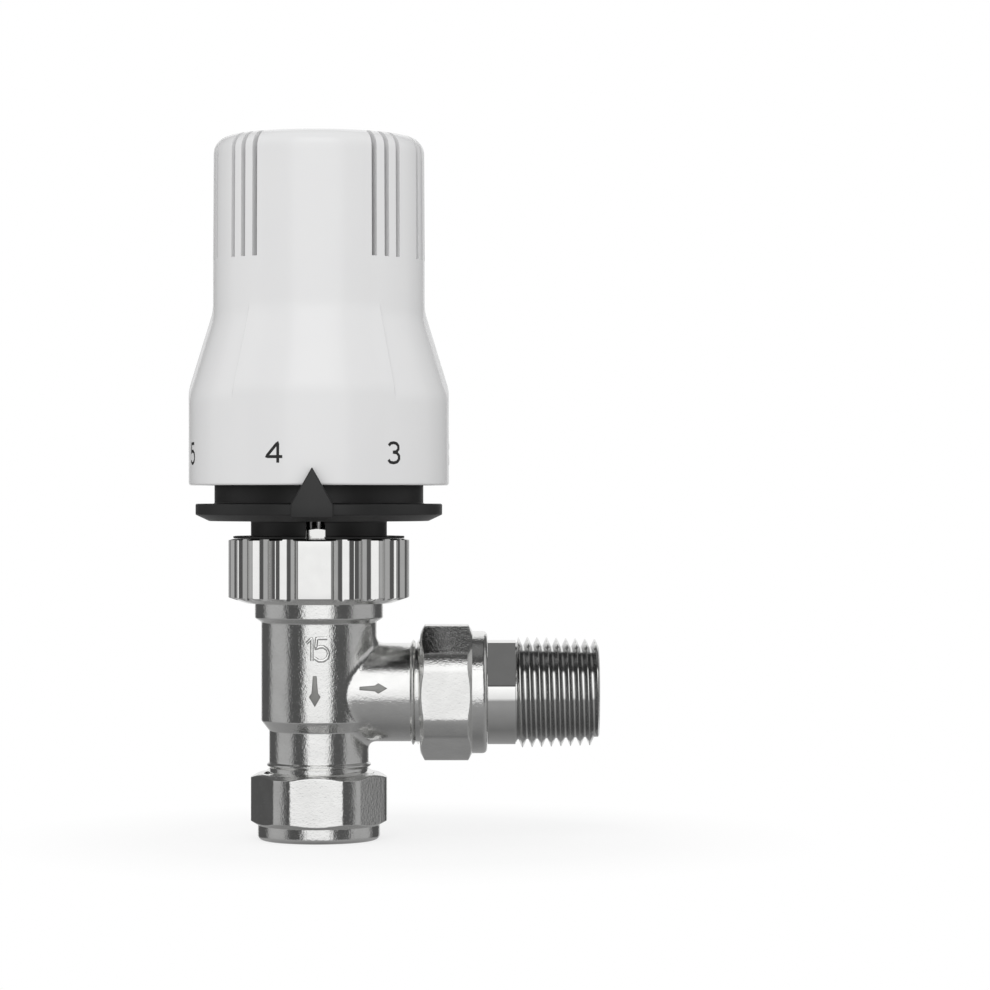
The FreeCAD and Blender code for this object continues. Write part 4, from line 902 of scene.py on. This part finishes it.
# numerals and cast marks, drawn as strokes in a box one unit high
digitStrokes = {
    "1": [[(0.10, 0.78), (0.34, 1.0), (0.34, 0.0)]],
    "2": [[(0.0, 0.76), (0.04, 0.9), (0.16, 0.99), (0.32, 1.0), (0.48, 0.94), (0.56, 0.8), (0.54, 0.64),
           (0.42, 0.46), (0.22, 0.26), (0.0, 0.0), (0.6, 0.0)]],
    "3": [[(0.02, 0.86), (0.12, 0.97), (0.28, 1.0), (0.44, 0.96), (0.54, 0.84), (0.54, 0.68), (0.44, 0.56),
           (0.24, 0.53)],
          [(0.24, 0.53), (0.46, 0.49), (0.58, 0.36), (0.58, 0.18), (0.46, 0.04), (0.28, 0.0), (0.1, 0.03),
           (0.0, 0.15)]],
    "4": [[(0.55, 0.0), (0.55, 1.0), (0.0, 0.3), (0.76, 0.3)]],
    "5": [[(0.54, 1.0), (0.08, 1.0), (0.04, 0.54), (0.2, 0.62), (0.38, 0.62), (0.54, 0.5), (0.6, 0.32),
           (0.54, 0.12), (0.38, 0.01), (0.18, 0.0), (0.0, 0.12)]],
}


def frostStrokes():
    # three crossing bars, each with a small fork at both ends
    strokes = []
    for k in range(3):
        turn = math.radians(30 + 60 * k)
        tip = Vector((math.cos(turn), math.sin(turn))) * 0.5
        strokes.append([tuple(Vector((0.5, 0.5)) - tip), tuple(Vector((0.5, 0.5)) + tip)])
        for end in (-1, 1):
            root = Vector((0.5, 0.5)) + tip * 0.55 * end
            for side in (-1, 1):
                fork = Matrix.Rotation(math.radians(48 * side), 2) @ (tip * 0.34 * end)
                strokes.append([tuple(root), tuple(root + fork)])
    return strokes


def strokeMesh(strokes, radius, wrap):
    # round strokes that follow the surface which wrap maps the flat drawing to
    curve = bpy.data.curves.new("strokes", "CURVE")
    curve.dimensions = "3D"
    curve.bevel_depth = radius * mm
    curve.bevel_resolution = 3
    curve.use_fill_caps = True
    for stroke in strokes:
        spline = curve.splines.new("POLY")
        dense = []
        for start, end in zip(stroke, stroke[1:]):
            parts = max(1, math.ceil(math.dist(start, end) / 0.08))
            dense += [(start[0] + (end[0] - start[0]) * k / parts,
                       start[1] + (end[1] - start[1]) * k / parts) for k in range(parts)]
        dense.append(stroke[-1])
        spline.points.add(len(dense) - 1)
        for point, (u, v) in zip(spline.points, dense):
            point.co = (*(Vector(wrap(u, v)) * mm), 1.0)
    holder = bpy.data.objects.new("strokes", curve)
    bpy.context.scene.collection.objects.link(holder)
    graph = bpy.context.evaluated_depsgraph_get()
    mesh = bpy.data.meshes.new_from_object(holder.evaluated_get(graph))
    bpy.data.objects.remove(holder)
    return mended(mesh, 1e-7, False)


def dialNumerals():
    dial = {"radius": 24.58, "height": 3.7, "wide": 4.1, "low": 71.0, "stroke": 0.29, "flat": 0.12,
            "places": {"4": -17.3, "3": 36.9, "5": -70.6, "2": 92.5, "1": 148.4}, "frost": 204.3}
    for label, place in list(dial["places"].items()) + [("frost", dial["frost"])]:
        strokes = frostStrokes() if label == "frost" else digitStrokes[label]
        width = 1.0 if label == "frost" else 0.6

        def wrap(u, v):
            angle = math.radians(-90 + place) + (u - width / 2) * dial["wide"] / dial["radius"]
            return (dial["radius"] * math.cos(angle), dial["radius"] * math.sin(angle),
                    dial["low"] + v * dial["height"])

        mesh = strokeMesh(strokes, dial["stroke"], wrap)
        for vert in mesh.vertices:
            # pressed almost flat, as print is
            away = math.hypot(vert.co.x, vert.co.y)
            kept = (dial["radius"] * mm + (away - dial["radius"] * mm) * dial["flat"]) / away
            vert.co.x, vert.co.y = vert.co.x * kept, vert.co.y * kept
        finishedPiece("numeral_" + label, mesh, paint, "handle", (), 40)


def castMarks():
    # the pipe size and the two flow arrows stand proud of the casting
    mark = {"barrel": 10.9, "branch": 9.3, "height": 4.2, "low": 34.2, "stroke": 0.52, "depth": 0.39,
            "lefts": {"1": -2.2, "5": -0.25}}
    flow = {"proud": 0.14, "sunk": 0.6, "tilt": 7.4, "edge": 0.12, "left": -0.25, "high": 31.4, "from": 8.0,
            "scale": 0.9}

    def onBarrel(u, v):
        return (u, -math.sqrt((mark["barrel"] - mark["depth"]) ** 2 - u * u), v)

    for name, left in mark["lefts"].items():
        mesh = strokeMesh(digitStrokes[name], mark["stroke"], lambda u, v: onBarrel(
            left + u * mark["height"], mark["low"] + v * mark["height"]))
        finishedPiece("size_mark_" + name, mesh, castMetal, "root", (), 60)
    rim = [("BEVEL", {"width": flow["edge"] * mm, "segments": 3, "limit_method": "ANGLE"})]
    arrow = [(-0.36, 0.0), (0.36, 0.0), (0.55, 2.6), (0.62, 3.2), (1.1, 3.9), (0.0, 5.8), (-1.1, 3.9),
             (-0.62, 3.2), (-0.55, 2.6)]
    down = prism([(flow["left"] + side, flow["high"] - along) for side, along in arrow],
                 -mark["barrel"] + flow["sunk"], -mark["barrel"] - flow["proud"])
    scale = flow["scale"]
    out = prism([(flow["from"] + along * scale, branchHeight + side * scale) for side, along in arrow],
                -mark["branch"] + flow["sunk"], -mark["branch"] - flow["proud"])
    centre = Matrix.Translation((0, 0, branchHeight * mm))
    tilted = centre @ Matrix.Rotation(math.radians(-flow["tilt"]), 4, "X") @ centre.inverted()
    for name, shape, place in (("flow_arrow_down", down, None), ("flow_arrow_out", out, tilted)):
        mesh = carved(plainMesh(*shape, place), [], rim)
        finishedPiece(name, mesh, reliefMetal, "root", (), 60)


def dressCadNodes():
    # the inner pieces keep their solids and take a finish by their slot
    finish = {"nickel": brightMetal, "brass": brass, "steel": steel, "sensor_metal": canMetal,
              "rubber": rubber, "black_plastic": black, "grey_plastic": greyPlastic, "white_plastic": white}
    slotOf = {row["node"]: row["material_slot"] for row in frame["record"]["subparts"]}
    for name, node in frame["nodes"].items():
        if not node.material_slots:
            node.data.materials.append(finish[slotOf[name]])
        for holder in node.material_slots:
            holder.link = "OBJECT"
            holder.material = finish[slotOf[name]]


def studio():
    # white sweep for the camera, soft cards and dark gaps for what the metal mirrors
    setting = {"ceiling": 0.07, "overhead": 0.17, "floorNear": 0.32, "floorFar": 0.17,
               "fill": 0.86, "lamp": 5.0, "lampSize": 0.9, "lampPlace": (-0.08, -1.05, 1.0),
               "lampAim": (0.01, 0, 0.06)}
    # what stands round the object: degrees from the front, to the right positive, and its brightness
    cards = [(-180, 0.85), (-164, 0.85), (-158, 0.10), (-114, 0.10), (-106, 0.45), (-64, 0.45), (-58, 0.095),
             (-30, 0.095), (-24, 1.05), (25, 1.05), (31, 0.10), (61, 0.10), (67, 0.44), (113, 0.44),
             (122, 0.10), (158, 0.10), (164, 0.85), (180, 0.85)]
    world = bpy.data.worlds.new("studio")
    bpy.context.scene.world = world
    world.use_nodes = True
    tree = world.node_tree
    tree.nodes.clear()
    wire = Wire(tree)
    toward = wire.node("ShaderNodeTexCoord", output="Generated")
    split = tree.nodes.new("ShaderNodeSeparateXYZ")
    tree.links.new(toward.socket, split.inputs[0])
    x, y, z = (Wire(tree, split.outputs[k]) for k in range(3))
    turn = x.maths("ARCTAN2", y * -1.0) * (0.5 / math.pi) + 0.5
    rise = z.maths("ARCSINE", 0.0) * (180 / math.pi)
    stops = [((at + 180) / 360, grey(level)) for at, level in cards]
    band = wire.node("ShaderNodeValToRGB", {"stops": stops}, {"Fac": turn})
    high = spread(wire, rise, 50.0, 58.0, 0.0, 1.0)
    low = spread(wire, rise, -11.0, -17.0, 0.0, 1.0)
    ceiling = spread(wire, rise, 68.0, 78.0, setting["ceiling"], setting["overhead"])
    ground = spread(wire, rise, -25.0, -90.0, setting["floorNear"], setting["floorFar"])
    lit = wire.node("ShaderNodeVectorMath", {"operation": "SCALE"},
                    {0: band, "Scale": spread(wire, rise, -10.0, 15.0, 0.86, 1.12)}, output="Vector")
    around = mixColour(wire, high, lit, ceiling)
    around = mixColour(wire, low, around, ground)
    path = tree.nodes.new("ShaderNodeLightPath")
    camera = Wire(tree, path.outputs["Is Camera Ray"])
    glossy = Wire(tree, path.outputs["Is Glossy Ray"])
    seen = mixColour(wire, glossy, grey(setting["fill"]), around)
    seen = mixColour(wire, camera, seen, grey(1.0))
    shine = wire.node("ShaderNodeBackground", inputs={"Color": seen, "Strength": 1.0})
    tree.links.new(shine.socket, tree.nodes.new("ShaderNodeOutputWorld").inputs["Surface"])

    lamp = bpy.data.lights.new("softKey", "AREA")
    lamp.energy = setting["lamp"]
    lamp.size = setting["lampSize"]
    holder = bpy.data.objects.new("softKey", lamp)
    holder.location = setting["lampPlace"]
    away = Vector(holder.location) - Vector(setting["lampAim"])
    holder.rotation_euler = away.to_track_quat("Z", "Y").to_euler()
    holder.visible_glossy = False
    bpy.context.scene.collection.objects.link(holder)


def paleFloor():
    # white to the camera but for a faint shadow; mirror images look through it to the studio's floor tones
    ground = {"radius": 84.0, "middle": 16.0, "below": 0.02, "clearFrom": 46.0, "clearTo": 80.0,
              "toCamera": 0.74}
    mesh = bpy.data.meshes.new("floor")
    turns = [k * math.pi / 48 for k in range(96)]
    rim = [(ground["radius"] * math.cos(turn) * mm, ground["radius"] * math.sin(turn) * mm, 0)
           for turn in turns]
    mesh.from_pydata(rim, [], [tuple(range(len(rim)))])
    floor = bpy.data.objects.new("floor", mesh)
    floor.location = (ground["middle"] * mm, 0, -ground["below"] * mm)
    bpy.context.scene.collection.objects.link(floor)
    material = bpy.data.materials.new("paleFloor")
    material.use_nodes = True
    tree = material.node_tree
    tree.nodes.clear()
    wire = Wire(tree)
    path = tree.nodes.new("ShaderNodeLightPath")
    camera = Wire(tree, path.outputs["Is Camera Ray"])
    mirror = Wire(tree, path.outputs["Is Glossy Ray"])
    through = Wire(tree, path.outputs["Is Transmission Ray"])
    coords = wire.node("ShaderNodeTexCoord", output="Object")
    away = wire.node("ShaderNodeVectorMath", {"operation": "LENGTH"}, {0: coords}, output="Value")
    clear = spread(wire, away, ground["clearFrom"] * mm, ground["clearTo"] * mm, ground["toCamera"], 1.0)
    shade = mixColour(wire, camera, grey(0.4), grey(0.9))
    plain = wire.node("ShaderNodeBsdfDiffuse", inputs={"Color": shade})
    glow = wire.node("ShaderNodeEmission", inputs={"Color": grey(1.0), "Strength": 1.0})
    clearGlass = wire.node("ShaderNodeBsdfTransparent")
    shown = wire.node("ShaderNodeMixShader", inputs={0: camera * clear, 1: plain, 2: glow})
    shown = wire.node("ShaderNodeMixShader", inputs={0: mirror + through, 1: shown, 2: clearGlass})
    tree.links.new(shown.socket, tree.nodes.new("ShaderNodeOutputMaterial").inputs["Surface"])
    mesh.materials.append(material)


def frontCamera():
    view = {"lens": 125.45, "sensor": 36.0, "place": (0.0333, -0.653, 0.0651)}
    lens = bpy.data.cameras.new("frontView")
    lens.lens = view["lens"]
    lens.sensor_width = view["sensor"]
    holder = bpy.data.objects.new("frontView", lens)
    holder.location = view["place"]
    holder.rotation_euler = (math.radians(90), 0, 0)
    bpy.context.scene.collection.objects.link(holder)
    bpy.context.scene.camera = holder


dressCadNodes()
print("inner pieces dressed")
compressionNut("pipe_nut")
compressionNut("tail_nut", alongX(tailNutFace, branchHeight, True))
print("nuts made")
valveBody()
radiatorTail()
ringNut()
glandNut()
returnSpring()
castMarks()
print("metal made")
headBase()
handleCap()
dialNumerals()
print("head made")
studio()
paleFloor()
frontCamera()
bpy.context.scene.view_settings.view_transform = "Standard"
